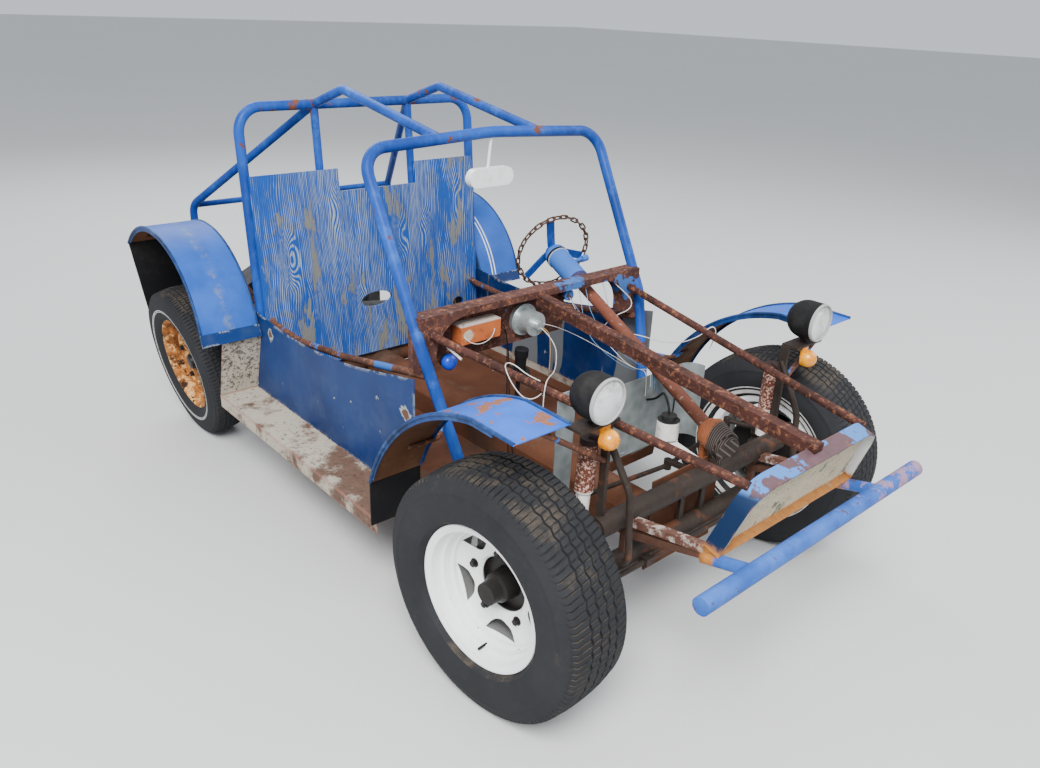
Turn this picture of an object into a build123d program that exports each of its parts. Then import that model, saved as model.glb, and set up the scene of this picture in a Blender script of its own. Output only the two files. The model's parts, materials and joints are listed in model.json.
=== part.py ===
"""Home-built dune buggy: a tube body on a shortened floor pan, front cross beam and swing axle rear.

Millimetres. X is the driver's left, Y runs to the rear and Z is up. The origin is on the
ground under the middle of the vehicle. A station is a distance behind the front axle.
"""
from build123d import *
import os
from math import asin, cos, degrees, radians, sin, tan

os.makedirs("parts", exist_ok=True)

# Driving lengths
WHEELBASE = 2032
FRONT_REACH = 568
REAR_REACH = 560
LENGTH = FRONT_REACH + WHEELBASE + REAR_REACH
FRONT_AXLE_Y = -LENGTH / 2 + FRONT_REACH
SIDES = (("left", 1), ("right", -1))
GAP = 0.3

# Tube and sheet stock
HOOP_TUBE = 38
BRACE_TUBE = 32
RAIL_TUBE = 25
SHEET = 3

# Floor
RAIL_WIDTH = 60
FLOOR_Z = 230
RAIL_HEIGHT = 40
RAIL_TOP = FLOOR_Z + RAIL_HEIGHT
FLOOR_FRONT = 370
FLOOR_NOSE_HALF = 430
FLOOR_SHOULDER = 450
FLOOR_REAR = WHEELBASE - 412
TUNNEL_WIDTH = 140
TUNNEL_HEIGHT = 130
TUNNEL_TOP = FLOOR_Z + TUNNEL_HEIGHT
HEAD_HALF = 160
HEAD_PLATE = 5
SEAT_X = 285
SEAT_STATION = WHEELBASE - 852
SEAT_BOLTS = (320, 340)
BOLT_HOLE = 11

# Rear torsion tube across the end of the floor
TORSION_STATION = WHEELBASE - 402
TORSION_Z = 320
TORSION_TUBE = 90
TORSION_HALF = 480

# Main hoop behind the seats
HOOP_X = 530
HOOP_TOP_Z = 1400
HOOP_TOP_STATION = WHEELBASE - 347
HOOP_LEAN = 0.081
HOOP_CORNER = 95
UPRIGHT_X = 216

# Windshield hoop
SHIELD_X = 500
SHIELD_TOP_STATION = 870
SHIELD_TOP_Z = 1362
SHIELD_KNEE = (576, 811)
SHIELD_FOOT = (406, 399)
SHIELD_CORNER = 85
SHIELD_CROWN = 26

# Dash cross member
DASH_STATION = 584
DASH_TOP_Z = 903
DASH_DEPTH = 60
DASH_BAND = 23
DASH_LEG_Z = 720
DASH_CORNER = 115
DASH_PANEL_END = 168

# Front end
HOOD_SIDE_REAR = (449, 839)
HOOD_SIDE_FRONT = (272, -469, 741)
CENTRE_RAIL = 38
CENTRE_RAIL_REAR_Z = 874
CENTRE_RAIL_FRONT = (0, -490, 758)
GRILLE_FOOT = (322, -422, 547)
GRILLE_TOP = (294, -490, 753)
GRILLE_CORNER = 90
GRILLE_DEPTH = 50
BUMPER_TUBE = 48
BUMPER_HALF = 521
BUMPER_Z = 552
BUMPER_ARM_X = 310
HORN_X = 305
HORN = 24

# Front axle beam
BEAM_STATION = -130
BEAM_UPPER_Z = 505
BEAM_SPACING = 150
BEAM_TUBE = 64
BEAM_HALF = 430
TOWER_X = 404
TOWER_STATION = -118
TOWER = (12, 24)
STRUT_X = 392

# Front wheels, steered a little to the left as they stand
FRONT_TYRE = 712
FRONT_TYRE_WIDTH = 235
FRONT_WHEEL_X = 655
KINGPIN_X = 520
REST_STEER = 5
STEER_ARM = 120
STEER_ARM_Z = 430

# Rear wheels, splayed by the swing axle
REAR_TYRE = 650
REAR_TYRE_WIDTH = 160
REAR_WHEEL_X = 655
CAMBER = 8
AXLE_PIVOT_X = 110

RIM_SEAT = 381
RIM_FLANGE = 416
TREAD_SHARE = 0.40
TREAD_DROP = 8

# Body panels
PANEL_Z = 300
BODY_HALF = HOOP_X + HOOP_TUBE / 2
BOARD_INNER_X = BODY_HALF
BOARD_OUTER_X = 710
BOARD_FRONT = 520
BOARD_REAR = WHEELBASE - 362
BOARD_HOLE_X = 608
BOARD_HOLE_STATION = BOARD_REAR - 134
BOARD_HOLE_PITCH = 90
FENDER_SHEET = 3


def place(x, station, z):
    """A point from its distance behind the front axle."""
    return Vector(x, FRONT_AXLE_Y + station, z)


def pipe(points, bend, diameter, mode=Mode.ADD):
    """A round tube along straight runs joined by bends."""
    with BuildLine() as path:
        if len(points) == 2:
            Line(*points)
        else:
            FilletPolyline(*points, radius=bend)
    with BuildSketch(Plane(origin=path.line @ 0, z_dir=path.line % 0)) as section:
        Circle(diameter / 2)
    sweep(section.sketch, path=path.line, mode=mode)


def bar(start, end, width, height, across=None):
    """A straight rectangular bar, its width measured along the across direction."""
    run = end - start
    with BuildSketch(Plane(origin=start, x_dir=across or Vector(0, 0, 1).cross(run), z_dir=run)) as section:
        Rectangle(width, height)
    extrude(section.sketch, amount=run.length)


def block(low, high, mode=Mode.ADD):
    """A box between two corners."""
    size = high - low
    with Locations((low + high) * 0.5):
        Box(size.X, size.Y, size.Z, mode=mode)


def side_plane(x):
    """A plane across the vehicle's side, with local X to the rear and local Y up."""
    return Plane(origin=(x, FRONT_AXLE_Y, 0), x_dir=(0, 1, 0), z_dir=(1, 0, 0))


def save(part, name, solids=None):
    """Write a node; a solid count drops the slivers that coping leaves."""
    if solids:
        part = Compound(part.solids().sort_by(SortBy.VOLUME)[-solids:])
    part.label = name
    export_step(part, f"parts/{name}.step")


def hoop_station(z):
    """Where the leaning main hoop stands at a height."""
    return HOOP_TOP_STATION - (HOOP_TOP_Z - z) * HOOP_LEAN


# Floor pan: a pressed floor in a rail frame, the centre tunnel and the rear torsion tube
floor_points = [
    (FLOOR_NOSE_HALF, FLOOR_FRONT),
    (BODY_HALF, FLOOR_SHOULDER),
    (BODY_HALF, FLOOR_REAR),
    (-BODY_HALF, FLOOR_REAR),
    (-BODY_HALF, FLOOR_SHOULDER),
    (-FLOOR_NOSE_HALF, FLOOR_FRONT),
]
with BuildPart() as floor_pan:
    with BuildSketch(Plane(origin=place(0, 0, FLOOR_Z))):
        Polygon(*floor_points, align=None)
    extrude(amount=SHEET)
    with BuildSketch(Plane(origin=place(0, 0, FLOOR_Z))):
        Polygon(*floor_points, align=None)
        offset(amount=-RAIL_WIDTH, kind=Kind.INTERSECTION, mode=Mode.SUBTRACT)
    extrude(amount=RAIL_HEIGHT)
    for name, side in SIDES:
        with Locations(place(side * SEAT_X, SEAT_STATION, FLOOR_Z)):
            with GridLocations(SEAT_BOLTS[0], SEAT_BOLTS[1], 2, 2):
                Cylinder(BOLT_HOLE / 2, 3 * SHEET, mode=Mode.SUBTRACT)

# Backbone: the centre tunnel with its head plate and the rear torsion tube
beam_rear = BEAM_STATION + BEAM_TUBE / 2
with BuildPart() as backbone:
    with BuildSketch(Plane(origin=place(0, beam_rear, FLOOR_Z), x_dir=(-1, 0, 0), z_dir=(0, 1, 0))):
        with BuildLine():
            half = TUNNEL_WIDTH / 2
            shoulder = TUNNEL_HEIGHT - half * 0.6
            Line((-half, 0), (half, 0))
            Line((half, 0), (half, shoulder))
            ThreePointArc((half, shoulder), (0, TUNNEL_HEIGHT), (-half, shoulder))
            Line((-half, shoulder), (-half, 0))
        make_face()
    extrude(amount=TORSION_STATION - beam_rear)
    torsion_end = place(TORSION_HALF, TORSION_STATION, TORSION_Z)
    pipe([torsion_end - Vector(2 * TORSION_HALF, 0, 0), torsion_end], 0, TORSION_TUBE)
    head_low = place(-HEAD_HALF, beam_rear, FLOOR_Z)
    block(head_low, place(HEAD_HALF, beam_rear + HEAD_PLATE, BEAM_UPPER_Z + BEAM_TUBE / 2))
save(backbone.part, "backbone")
floor_sheet = floor_pan.part - backbone.part
save(floor_sheet, "floor_pan")

# Main hoop: a bent tube with two inner uprights behind the seat back
hoop_foot = place(HOOP_X, hoop_station(RAIL_TOP), RAIL_TOP)
hoop_corner = place(HOOP_X, HOOP_TOP_STATION, HOOP_TOP_Z)
with BuildPart() as main_hoop:
    pipe(
        [hoop_foot, hoop_corner, hoop_corner + Vector(-2 * HOOP_X, 0, 0), hoop_foot + Vector(-2 * HOOP_X, 0, 0)],
        HOOP_CORNER,
        HOOP_TUBE,
    )
    for name, side in SIDES:
        upright_foot = place(side * UPRIGHT_X, hoop_station(TORSION_Z), TORSION_Z)
        pipe([upright_foot, place(side * UPRIGHT_X, HOOP_TOP_STATION, HOOP_TOP_Z)], 0, BRACE_TUBE)
    add(floor_sheet, mode=Mode.SUBTRACT)
    add(backbone.part, mode=Mode.SUBTRACT)
save(main_hoop.part, "main_hoop")

# Windshield hoop: a leaning bent tube with a slightly crowned top bar
shield_half = [
    place(*SHIELD_FOOT, RAIL_TOP),
    place(SHIELD_X, *SHIELD_KNEE),
    place(SHIELD_X + 8, SHIELD_TOP_STATION, SHIELD_TOP_Z),
]
shield_crown = place(0, SHIELD_TOP_STATION - 4, SHIELD_TOP_Z + SHIELD_CROWN)
shield_mirror = [Vector(-p.X, p.Y, p.Z) for p in reversed(shield_half)]
with BuildPart() as windshield_hoop:
    pipe([*shield_half, shield_crown, *shield_mirror], [150, SHIELD_CORNER, 900, SHIELD_CORNER, 150], HOOP_TUBE)
    add(floor_sheet, mode=Mode.SUBTRACT)
    add(backbone.part, mode=Mode.SUBTRACT)
save(windshield_hoop.part, "windshield_hoop")

# Roof braces: they rise from the main hoop, bend and run down to the windshield hoop
with BuildPart() as roof_braces:
    for name, side in SIDES:
        pipe(
            [
                place(side * UPRIGHT_X, HOOP_TOP_STATION, HOOP_TOP_Z),
                place(side * UPRIGHT_X, HOOP_TOP_STATION - 223, HOOP_TOP_Z + 75),
                place(side * UPRIGHT_X, SHIELD_TOP_STATION, SHIELD_TOP_Z + SHIELD_CROWN * 0.6),
            ],
            60,
            HOOP_TUBE - 4,
        )
    add(main_hoop.part, mode=Mode.SUBTRACT)
    add(windshield_hoop.part, mode=Mode.SUBTRACT)
save(roof_braces.part, "roof_braces")

# Rear frame: braces that fall outwards, turn down beside the engine and return to the torsion tube
BRACE_X = 500
BRACE_BEND = (WHEELBASE + 253, 929)
BRACE_LOW_Z = 440
with BuildPart() as rear_frame:
    for name, side in SIDES:
        pipe(
            [
                place(side * UPRIGHT_X, HOOP_TOP_STATION, HOOP_TOP_Z),
                place(side * BRACE_X, *BRACE_BEND),
                place(side * BRACE_X, BRACE_BEND[0], BRACE_LOW_Z),
                place(side * (TORSION_HALF - 50), TORSION_STATION, TORSION_Z),
            ],
            [70, 70],
            BRACE_TUBE,
        )
    pipe([place(-BRACE_X, *BRACE_BEND), place(BRACE_X, *BRACE_BEND)], 0, RAIL_TUBE)
    add(main_hoop.part, mode=Mode.SUBTRACT)
    add(roof_braces.part, mode=Mode.SUBTRACT)
    add(floor_sheet, mode=Mode.SUBTRACT)
    add(backbone.part, mode=Mode.SUBTRACT)
save(rear_frame.part, "rear_frame")

# Dash: a folded cross member with an arched front between the windshield legs
with BuildPart() as dash:
    dash_front = Plane(origin=place(0, DASH_STATION, 0), x_dir=(1, 0, 0), z_dir=(0, -1, 0))
    with BuildSketch(dash_front) as arch:
        with BuildLine():
            dash_half = SHIELD_X
            opening_half = SHIELD_X - 65
            opening_top = DASH_TOP_Z - DASH_BAND
            Line((-dash_half, DASH_LEG_Z), (-dash_half, DASH_TOP_Z))
            Line((-dash_half, DASH_TOP_Z), (dash_half, DASH_TOP_Z))
            Line((dash_half, DASH_TOP_Z), (dash_half, DASH_LEG_Z))
            FilletPolyline(
                (dash_half, DASH_LEG_Z),
                (opening_half, DASH_LEG_Z + 20),
                (opening_half, opening_top),
                (-opening_half, opening_top),
                (-opening_half, DASH_LEG_Z + 20),
                (-dash_half, DASH_LEG_Z),
                radius=[0, DASH_CORNER, DASH_CORNER, 0],
            )
        make_face()
    extrude(arch.sketch, amount=-DASH_DEPTH)
    with BuildSketch(dash_front.offset(-SHEET)) as hollow:
        add(arch.sketch_local)
        offset(amount=-SHEET)
    extrude(hollow.sketch, amount=-DASH_DEPTH, mode=Mode.SUBTRACT)
    pipe([place(152, 600, 856), place(156, DASH_STATION + DASH_DEPTH - SHEET, 852)], 0, 40)
    panel_rear = place(DASH_PANEL_END, DASH_STATION + DASH_DEPTH, DASH_TOP_Z)
    block(place(-opening_half - 20, DASH_STATION + DASH_DEPTH - SHEET, DASH_LEG_Z - 5), panel_rear)
    add(windshield_hoop.part, mode=Mode.SUBTRACT)
save(dash.part, "dash")

# Grille frame: a folded strip bent round the nose, closed by a rim along the bottom
grille_foot = place(*GRILLE_FOOT)
grille_top = place(*GRILLE_TOP)
grille_rise = Vector(0, grille_top.Y - grille_foot.Y, grille_top.Z - grille_foot.Z)
grille_plane = Plane(
    origin=(0, grille_foot.Y, grille_foot.Z), x_dir=(1, 0, 0), z_dir=Vector(1, 0, 0).cross(grille_rise)
)
with BuildSketch(grille_plane) as grille_outline:
    with BuildLine():
        FilletPolyline(
            (GRILLE_FOOT[0], 0),
            (GRILLE_TOP[0], grille_rise.length),
            (-GRILLE_TOP[0], grille_rise.length),
            (-GRILLE_FOOT[0], 0),
            radius=GRILLE_CORNER,
        )
        Line((-GRILLE_FOOT[0], 0), (GRILLE_FOOT[0], 0))
    make_face()
GRILLE_STRIP = 5
with BuildPart() as grille_frame:
    with BuildSketch(grille_plane) as grille_band:
        add(grille_outline.sketch_local)
        offset(amount=-GRILLE_STRIP, mode=Mode.SUBTRACT)
    extrude(grille_band.sketch, amount=GRILLE_DEPTH / 2, both=True)
save(grille_frame.part, "grille_frame")

# Grille mesh: the screen inside the strip
with BuildPart() as grille_mesh:
    with BuildSketch(grille_plane):
        add(grille_outline.sketch_local)
        offset(amount=-GRILLE_STRIP)
    extrude(amount=SHEET / 2, both=True)
save(grille_mesh.part, "grille_mesh")

# Hood rails: two round side rails and a square centre rail from the dash to the grille
with BuildPart() as hood_rails:
    for name, side in SIDES:
        pipe(
            [
                place(side * HOOD_SIDE_REAR[0], DASH_STATION, HOOD_SIDE_REAR[1]),
                place(side * HOOD_SIDE_FRONT[0], *HOOD_SIDE_FRONT[1:]),
            ],
            0,
            RAIL_TUBE,
        )
    bar(place(0, DASH_STATION, CENTRE_RAIL_REAR_Z), place(*CENTRE_RAIL_FRONT), CENTRE_RAIL, CENTRE_RAIL)
    add(grille_frame.part, mode=Mode.SUBTRACT)
    add(grille_mesh.part, mode=Mode.SUBTRACT)
    add(dash.part, mode=Mode.SUBTRACT)
    add(windshield_hoop.part, mode=Mode.SUBTRACT)
save(hood_rails.part, "hood_rails", solids=3)

# Front beam: two torsion tubes, end towers for the shocks and the plates that carry the lamps
LAMP_X = 480
LAMP_STATION = -130
LAMP_Z = 915
LAMP_BOWL = 122
LAMP_PLATE_Z = 838
with BuildPart() as front_beam:
    for level in (0, BEAM_SPACING):
        beam_z = BEAM_UPPER_Z - level
        pipe([place(-BEAM_HALF, BEAM_STATION, beam_z), place(BEAM_HALF, BEAM_STATION, beam_z)], 0, BEAM_TUBE)
    for name, side in SIDES:
        tower = place(side * TOWER_X, TOWER_STATION, 0)
        tower_half = Vector(TOWER[0] / 2, TOWER[1] / 2, 0)
        beam_lower = Vector(0, 0, BEAM_UPPER_Z - BEAM_SPACING)
        block(tower - tower_half + beam_lower, tower + tower_half + Vector(0, 0, LAMP_PLATE_Z))
        pipe(
            [
                place(side * TOWER_X, TOWER_STATION + 5, 785),
                place(side * STRUT_X, TOWER_STATION - 85, 636),
                place(side * STRUT_X, TOWER_STATION - 103, 434),
                place(side * STRUT_X, BEAM_STATION - 15, 385),
            ],
            [60, 30],
            20,
        )
        block(
            place(side * (LAMP_X - 5) - 70, LAMP_STATION - 28, LAMP_PLATE_Z - 4),
            place(side * (LAMP_X - 5) + 70, LAMP_STATION + 28, LAMP_PLATE_Z + 4),
        )
        lamp_foot = place(side * LAMP_X, LAMP_STATION, LAMP_PLATE_Z)
        pipe([lamp_foot, place(side * LAMP_X, LAMP_STATION, LAMP_Z - 50)], 0, 22)
    block(
        place(-60, BEAM_STATION, BEAM_UPPER_Z - BEAM_SPACING),
        place(-40, BEAM_STATION + 10, BEAM_UPPER_Z),
    )
    block(
        place(40, BEAM_STATION, BEAM_UPPER_Z - BEAM_SPACING),
        place(60, BEAM_STATION + 10, BEAM_UPPER_Z),
    )
    roll_end, roll_corner = (446, BEAM_STATION + 12, 350), (436, BEAM_STATION - 46, 350)
    pipe(
        [
            place(-roll_end[0], *roll_end[1:]),
            place(-roll_corner[0], *roll_corner[1:]),
            place(*roll_corner),
            place(*roll_end),
        ],
        25,
        16,
    )
    for name, side in SIDES:
        clamp = place(side * 250 - 15, BEAM_STATION - 58, 338)
        block(clamp, clamp + Vector(30, 40, 24))
    add(floor_sheet, mode=Mode.SUBTRACT)
    add(backbone.part, mode=Mode.SUBTRACT)
save(front_beam.part, "front_beam")

# Bumper: the cross tube on two arms that run back as square horns to the front beam
HORN_Z = (488, 543)
HORN_LOW_Z = (443, 526)
HORN_LOW = 20
with BuildPart() as front_bumper:
    bumper_station = -FRONT_REACH + BUMPER_TUBE / 2
    bumper_end = place(BUMPER_HALF, bumper_station, BUMPER_Z)
    pipe([bumper_end - Vector(2 * BUMPER_HALF, 0, 0), bumper_end], 0, BUMPER_TUBE)
    for name, side in SIDES:
        horn_rear = place(side * HORN_X, BEAM_STATION, HORN_Z[0])
        horn_front = place(side * HORN_X, GRILLE_FOOT[1] - 10, HORN_Z[1])
        bar(horn_rear, horn_front, HORN, HORN)
        low_rear = place(side * HORN_X, BEAM_STATION, HORN_LOW_Z[0])
        low_front = place(side * HORN_X, GRILLE_FOOT[1] - 4, HORN_LOW_Z[1])
        bar(low_rear, low_front, HORN_LOW, HORN_LOW)
        post = Vector(HORN_LOW / 2, HORN_LOW / 2, BEAM_SPACING / 2)
        post_centre = place(side * HORN_X, BEAM_STATION, BEAM_UPPER_Z - BEAM_SPACING / 2)
        block(post_centre - post, post_centre + post)
        arm_root = place(side * BUMPER_ARM_X, -395, 512)
        pipe([arm_root, place(side * BUMPER_ARM_X, bumper_station, BUMPER_Z)], 0, 34)
    add(front_beam.part, mode=Mode.SUBTRACT)
    add(grille_frame.part, mode=Mode.SUBTRACT)
    add(grille_mesh.part, mode=Mode.SUBTRACT)
save(front_bumper.part, "front_bumper", solids=1)


def dome_radius(half, rise):
    """The radius of a round cap from its half width and its rise."""
    return (half**2 + rise**2) / (2 * rise)


# Headlamps: deep bowls on posts, with their glasses
bowl_outer = LAMP_BOWL / 2
bowl_inner = bowl_outer - 4
with BuildPart() as headlamps:
    for name, side in SIDES:
        centre = place(side * LAMP_X, LAMP_STATION, LAMP_Z)
        with BuildSketch(Plane(origin=centre, x_dir=(0, -1, 0), z_dir=(-1, 0, 0))) as bowl:
            with BuildLine():
                Line((-bowl_inner, 0), (-bowl_outer, 0))
                CenterArc((0, 0), bowl_outer, 180, -90)
                Line((0, bowl_outer), (46, bowl_outer))
                Line((46, bowl_outer), (46, bowl_inner))
                Line((46, bowl_inner), (0, bowl_inner))
                CenterArc((0, 0), bowl_inner, 90, 90)
            make_face()
        revolve(bowl.sketch, axis=Axis(centre, (0, 1, 0)))
    add(front_beam.part, mode=Mode.SUBTRACT)
save(headlamps.part, "headlamps")

lens_half = bowl_inner - GAP
lens_rise = 10
lens_round = dome_radius(lens_half, lens_rise)
lens_angle = degrees(asin(lens_half / lens_round))
with BuildPart() as lamp_glasses:
    for name, side in SIDES:
        centre = place(side * LAMP_X, LAMP_STATION, LAMP_Z)
        with BuildSketch(Plane(origin=centre, x_dir=(0, -1, 0), z_dir=(-1, 0, 0))) as lens:
            with BuildLine():
                Line((34, 0), (34, lens_half))
                Line((34, lens_half), (46, lens_half))
                CenterArc((46 + lens_rise - lens_round, 0), lens_round, lens_angle, -lens_angle)
                Line((46 + lens_rise, 0), (34, 0))
            make_face()
        revolve(lens.sketch, axis=Axis(centre, (0, 1, 0)))
save(lamp_glasses.part, "lamp_glasses")

# Amber lamps under the front edge of the lamp plates
amber_half = 28
with BuildPart() as indicators:
    for name, side in SIDES:
        centre = place(side * 455, LAMP_STATION - 28, 800)
        with BuildSketch(Plane(origin=centre, x_dir=(0, -1, 0), z_dir=(-1, 0, 0))) as dome:
            with BuildLine():
                Line((0, 0), (0, amber_half))
                Line((0, amber_half), (12, amber_half))
                CenterArc((12, 0), amber_half, 90, -90)
                Line((12 + amber_half, 0), (0, 0))
            make_face()
        revolve(dome.sketch, axis=Axis(centre, (0, 1, 0)))
        block(centre + Vector(-15, 0, 0), centre + Vector(15, 8, 34))
    add(front_beam.part, mode=Mode.SUBTRACT)
save(indicators.part, "indicators")

# Side panels with a dipping top edge, standing on the running boards
PANEL_INNER_X = BODY_HALF
PANEL_FRONT = 540
PANEL_REAR = BOARD_REAR + 20
with BuildPart() as side_panels:
    for name, side in SIDES:
        with BuildSketch(side_plane(side * PANEL_INNER_X)):
            with BuildLine():
                Line((PANEL_FRONT, PANEL_Z + SHEET), (PANEL_FRONT, 735))
                Line((PANEL_FRONT, 735), (827, 672))
                ThreePointArc((827, 672), (PANEL_REAR - 360, 622), (PANEL_REAR, 652))
                Line((PANEL_REAR, 652), (PANEL_REAR, PANEL_Z + SHEET))
                Line((PANEL_REAR, PANEL_Z + SHEET), (PANEL_FRONT, PANEL_Z + SHEET))
            make_face()
        extrude(amount=side * SHEET)
save(side_panels.part, "side_panels")

# Side tubes: from the windshield legs past the hoop legs to the rear braces
with BuildPart() as side_tubes:
    tube_x = HOOP_X - HOOP_TUBE / 2 - RAIL_TUBE / 2
    for name, side in SIDES:
        pipe(
            [
                place(side * (SHIELD_X - 15), 560, 722),
                place(side * tube_x, 1040, 630),
                place(side * tube_x, TORSION_STATION - 261, 585),
                place(side * tube_x, TORSION_STATION - 58, 592),
                place(side * BRACE_X, BRACE_BEND[0], 850),
            ],
            [300, 250, 150],
            RAIL_TUBE,
        )
    add(windshield_hoop.part, mode=Mode.SUBTRACT)
    add(dash.part, mode=Mode.SUBTRACT)
    add(rear_frame.part, mode=Mode.SUBTRACT)
    add(main_hoop.part, mode=Mode.SUBTRACT)
save(side_tubes.part, "side_tubes", solids=2)

# Running boards: folded sheets with a riser at the rear end
RISER_TOP = (BOARD_REAR - 80, 560)
with BuildPart() as running_boards:
    for name, side in SIDES:
        inner = side * BOARD_INNER_X
        with BuildSketch(Plane(origin=place(0, BOARD_FRONT, 0), x_dir=(1, 0, 0), z_dir=(0, 1, 0))) as fold:
            with BuildLine():
                Polyline(
                    (inner, -(PANEL_Z + SHEET)),
                    (side * BOARD_OUTER_X, -(PANEL_Z + SHEET)),
                    (side * BOARD_OUTER_X, -(PANEL_Z - 45)),
                    (side * (BOARD_OUTER_X - SHEET), -(PANEL_Z - 45)),
                    (side * (BOARD_OUTER_X - SHEET), -PANEL_Z),
                    (inner + side * SHEET, -PANEL_Z),
                    (inner + side * SHEET, -FLOOR_Z),
                    (inner, -FLOOR_Z),
                    close=True,
                )
            make_face()
        extrude(fold.sketch, amount=BOARD_REAR - BOARD_FRONT)
        with BuildSketch(side_plane(side * (PANEL_INNER_X + SHEET + GAP))) as riser:
            with BuildLine():
                Polyline(
                    (BOARD_REAR - SHEET, PANEL_Z),
                    (BOARD_REAR, PANEL_Z),
                    (RISER_TOP[0] + SHEET, RISER_TOP[1]),
                    (RISER_TOP[0], RISER_TOP[1]),
                    close=True,
                )
            make_face()
        extrude(riser.sketch, amount=side * (BOARD_OUTER_X - PANEL_INNER_X - SHEET - GAP))
        with Locations(place(side * BOARD_HOLE_X, BOARD_HOLE_STATION, PANEL_Z)):
            with GridLocations(0, BOARD_HOLE_PITCH, 1, 2):
                Cylinder(BOLT_HOLE / 2, 3 * SHEET, mode=Mode.SUBTRACT)
save(running_boards.part, "running_boards")

# Fenders: sheets bent over the wheels
REAR_FENDER_X = (560, 790)
FRONT_FENDER_X = (564, 749)
REAR_CROWN = (WHEELBASE - 32, 915)
REAR_TAIL = (WHEELBASE + 258, 800)
rear_rise = ThreePointArc((RISER_TOP[0] - SHEET, RISER_TOP[1]), (RISER_TOP[0] + 150, 819), REAR_CROWN)
rear_fall = ThreePointArc(REAR_CROWN, (WHEELBASE + 128, 888), REAR_TAIL)
front_rise = ThreePointArc((490, 471), (297, 744), (19, 868))
front_flat = Line((19, 868), (-139, 866))
with BuildPart() as rear_fenders:
    for name, side in SIDES:
        with BuildSketch(side_plane(side * REAR_FENDER_X[0])) as section:
            with BuildLine():
                add(rear_rise)
                add(rear_fall)
                offset(amount=FENDER_SHEET, side=Side.LEFT)
            make_face()
        extrude(section.sketch, amount=side * (REAR_FENDER_X[1] - REAR_FENDER_X[0]))
save(rear_fenders.part, "rear_fenders")
with BuildPart() as front_fenders:
    for name, side in SIDES:
        with BuildSketch(side_plane(side * FRONT_FENDER_X[0])) as section:
            with BuildLine():
                add(front_rise)
                add(front_flat)
                offset(amount=FENDER_SHEET, side=Side.LEFT)
            make_face()
        extrude(section.sketch, amount=side * (FRONT_FENDER_X[1] - FRONT_FENDER_X[0]))
save(front_fenders.part, "front_fenders")

# Fender stays: thin tubes from the frame to the undersides of the fenders
STAY_TUBE = 16
STAY_SEAT = STAY_TUBE / 2 - 2


def beneath(curve, share, drop):
    """Station and height of a point square off a curve, on its right-hand side."""
    run = curve % share
    spot = curve @ share
    return spot.X + run.Y * drop, spot.Y - run.X * drop


with BuildPart() as fender_stays:
    for name, side in SIDES:
        for frame_end, bend_x, outer_x, seat in (
            ((BRACE_X, RISER_TOP[0] + 150, 653), 590, 700, beneath(rear_rise, 0.52, STAY_SEAT)),
            ((BRACE_X, BRACE_BEND[0], 770), 610, 720, beneath(rear_fall, 0.86, STAY_SEAT)),
            ((TOWER_X, TOWER_STATION, 700), 645, 725, beneath(front_flat, 0.85, -STAY_SEAT - FENDER_SHEET)),
            ((465, 508, 600), 540, 650, beneath(front_rise, 0.2, -STAY_SEAT - FENDER_SHEET)),
        ):
            bend = place(side * bend_x, *seat)
            pipe([place(side * frame_end[0], *frame_end[1:]), bend, place(side * outer_x, *seat)], 40, STAY_TUBE)
    add(rear_fenders.part, mode=Mode.SUBTRACT)
    add(front_fenders.part, mode=Mode.SUBTRACT)
    add(rear_frame.part, mode=Mode.SUBTRACT)
    add(side_tubes.part, mode=Mode.SUBTRACT)
    add(front_beam.part, mode=Mode.SUBTRACT)
    add(windshield_hoop.part, mode=Mode.SUBTRACT)
save(fender_stays.part, "fender_stays")

# Rubber flaps behind the wheels
FLAP = 5
rear_flap_top = place(0, REAR_TAIL[0] + 1.5, REAR_TAIL[1] + 2)
rear_flap_drop = Vector(0, 85, -350)
with BuildPart() as flaps:
    for name, side in SIDES:
        flap_plane = Plane(origin=rear_flap_top, x_dir=(1, 0, 0), z_dir=Vector(1, 0, 0).cross(rear_flap_drop))
        with BuildSketch(flap_plane) as flap:
            with BuildLine():
                Polyline(
                    (side * (REAR_FENDER_X[0] + 2), 0),
                    (side * (REAR_FENDER_X[1] - 2), 0),
                    (side * (REAR_FENDER_X[1] - 72), rear_flap_drop.length),
                    (side * (REAR_FENDER_X[0] + 2), rear_flap_drop.length),
                    close=True,
                )
            make_face()
        extrude(flap.sketch, amount=-FLAP)
    add(rear_fenders.part, mode=Mode.SUBTRACT)
    for name, side in SIDES:
        block(
            place(side * 656 - 90, 490 + GAP, 318),
            place(side * 656 + 90, 490 + GAP + FLAP, 485),
        )
save(flaps.part, "flaps")

# Seat back: a notched plywood sheet fixed to the front of the uprights
PLY = 12
PLY_WIDTH = 1050
PLY_FOOT_Z = 370
PLY_TOP_Z = 1160
with BuildPart() as seat_back:
    lean = Vector(0, HOOP_LEAN, 1)
    ply_origin = place(0, hoop_station(0), 0) + Vector(0, -(BRACE_TUBE / 2), 0)
    with BuildSketch(Plane(origin=ply_origin, x_dir=(1, 0, 0), z_dir=Vector(1, 0, 0).cross(lean))) as sheet:
        with Locations((0, (PLY_FOOT_Z + PLY_TOP_Z) / 2)):
            Rectangle(PLY_WIDTH, PLY_TOP_Z - PLY_FOOT_Z)
        with Locations((34, PLY_TOP_Z - 45)):
            Rectangle(368, 90, mode=Mode.SUBTRACT)
        for hole_x, hole_z, hole_length, hole_height in ((-15, 603, 150, 64), (420, 507, 58, 50)):
            with Locations((hole_x, hole_z)):
                Ellipse(hole_length / 2, hole_height / 2, mode=Mode.SUBTRACT)
    extrude(sheet.sketch, amount=PLY)
    add(main_hoop.part, mode=Mode.SUBTRACT)
    add(floor_sheet, mode=Mode.SUBTRACT)
    add(backbone.part, mode=Mode.SUBTRACT)
    add(side_tubes.part, mode=Mode.SUBTRACT)
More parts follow.
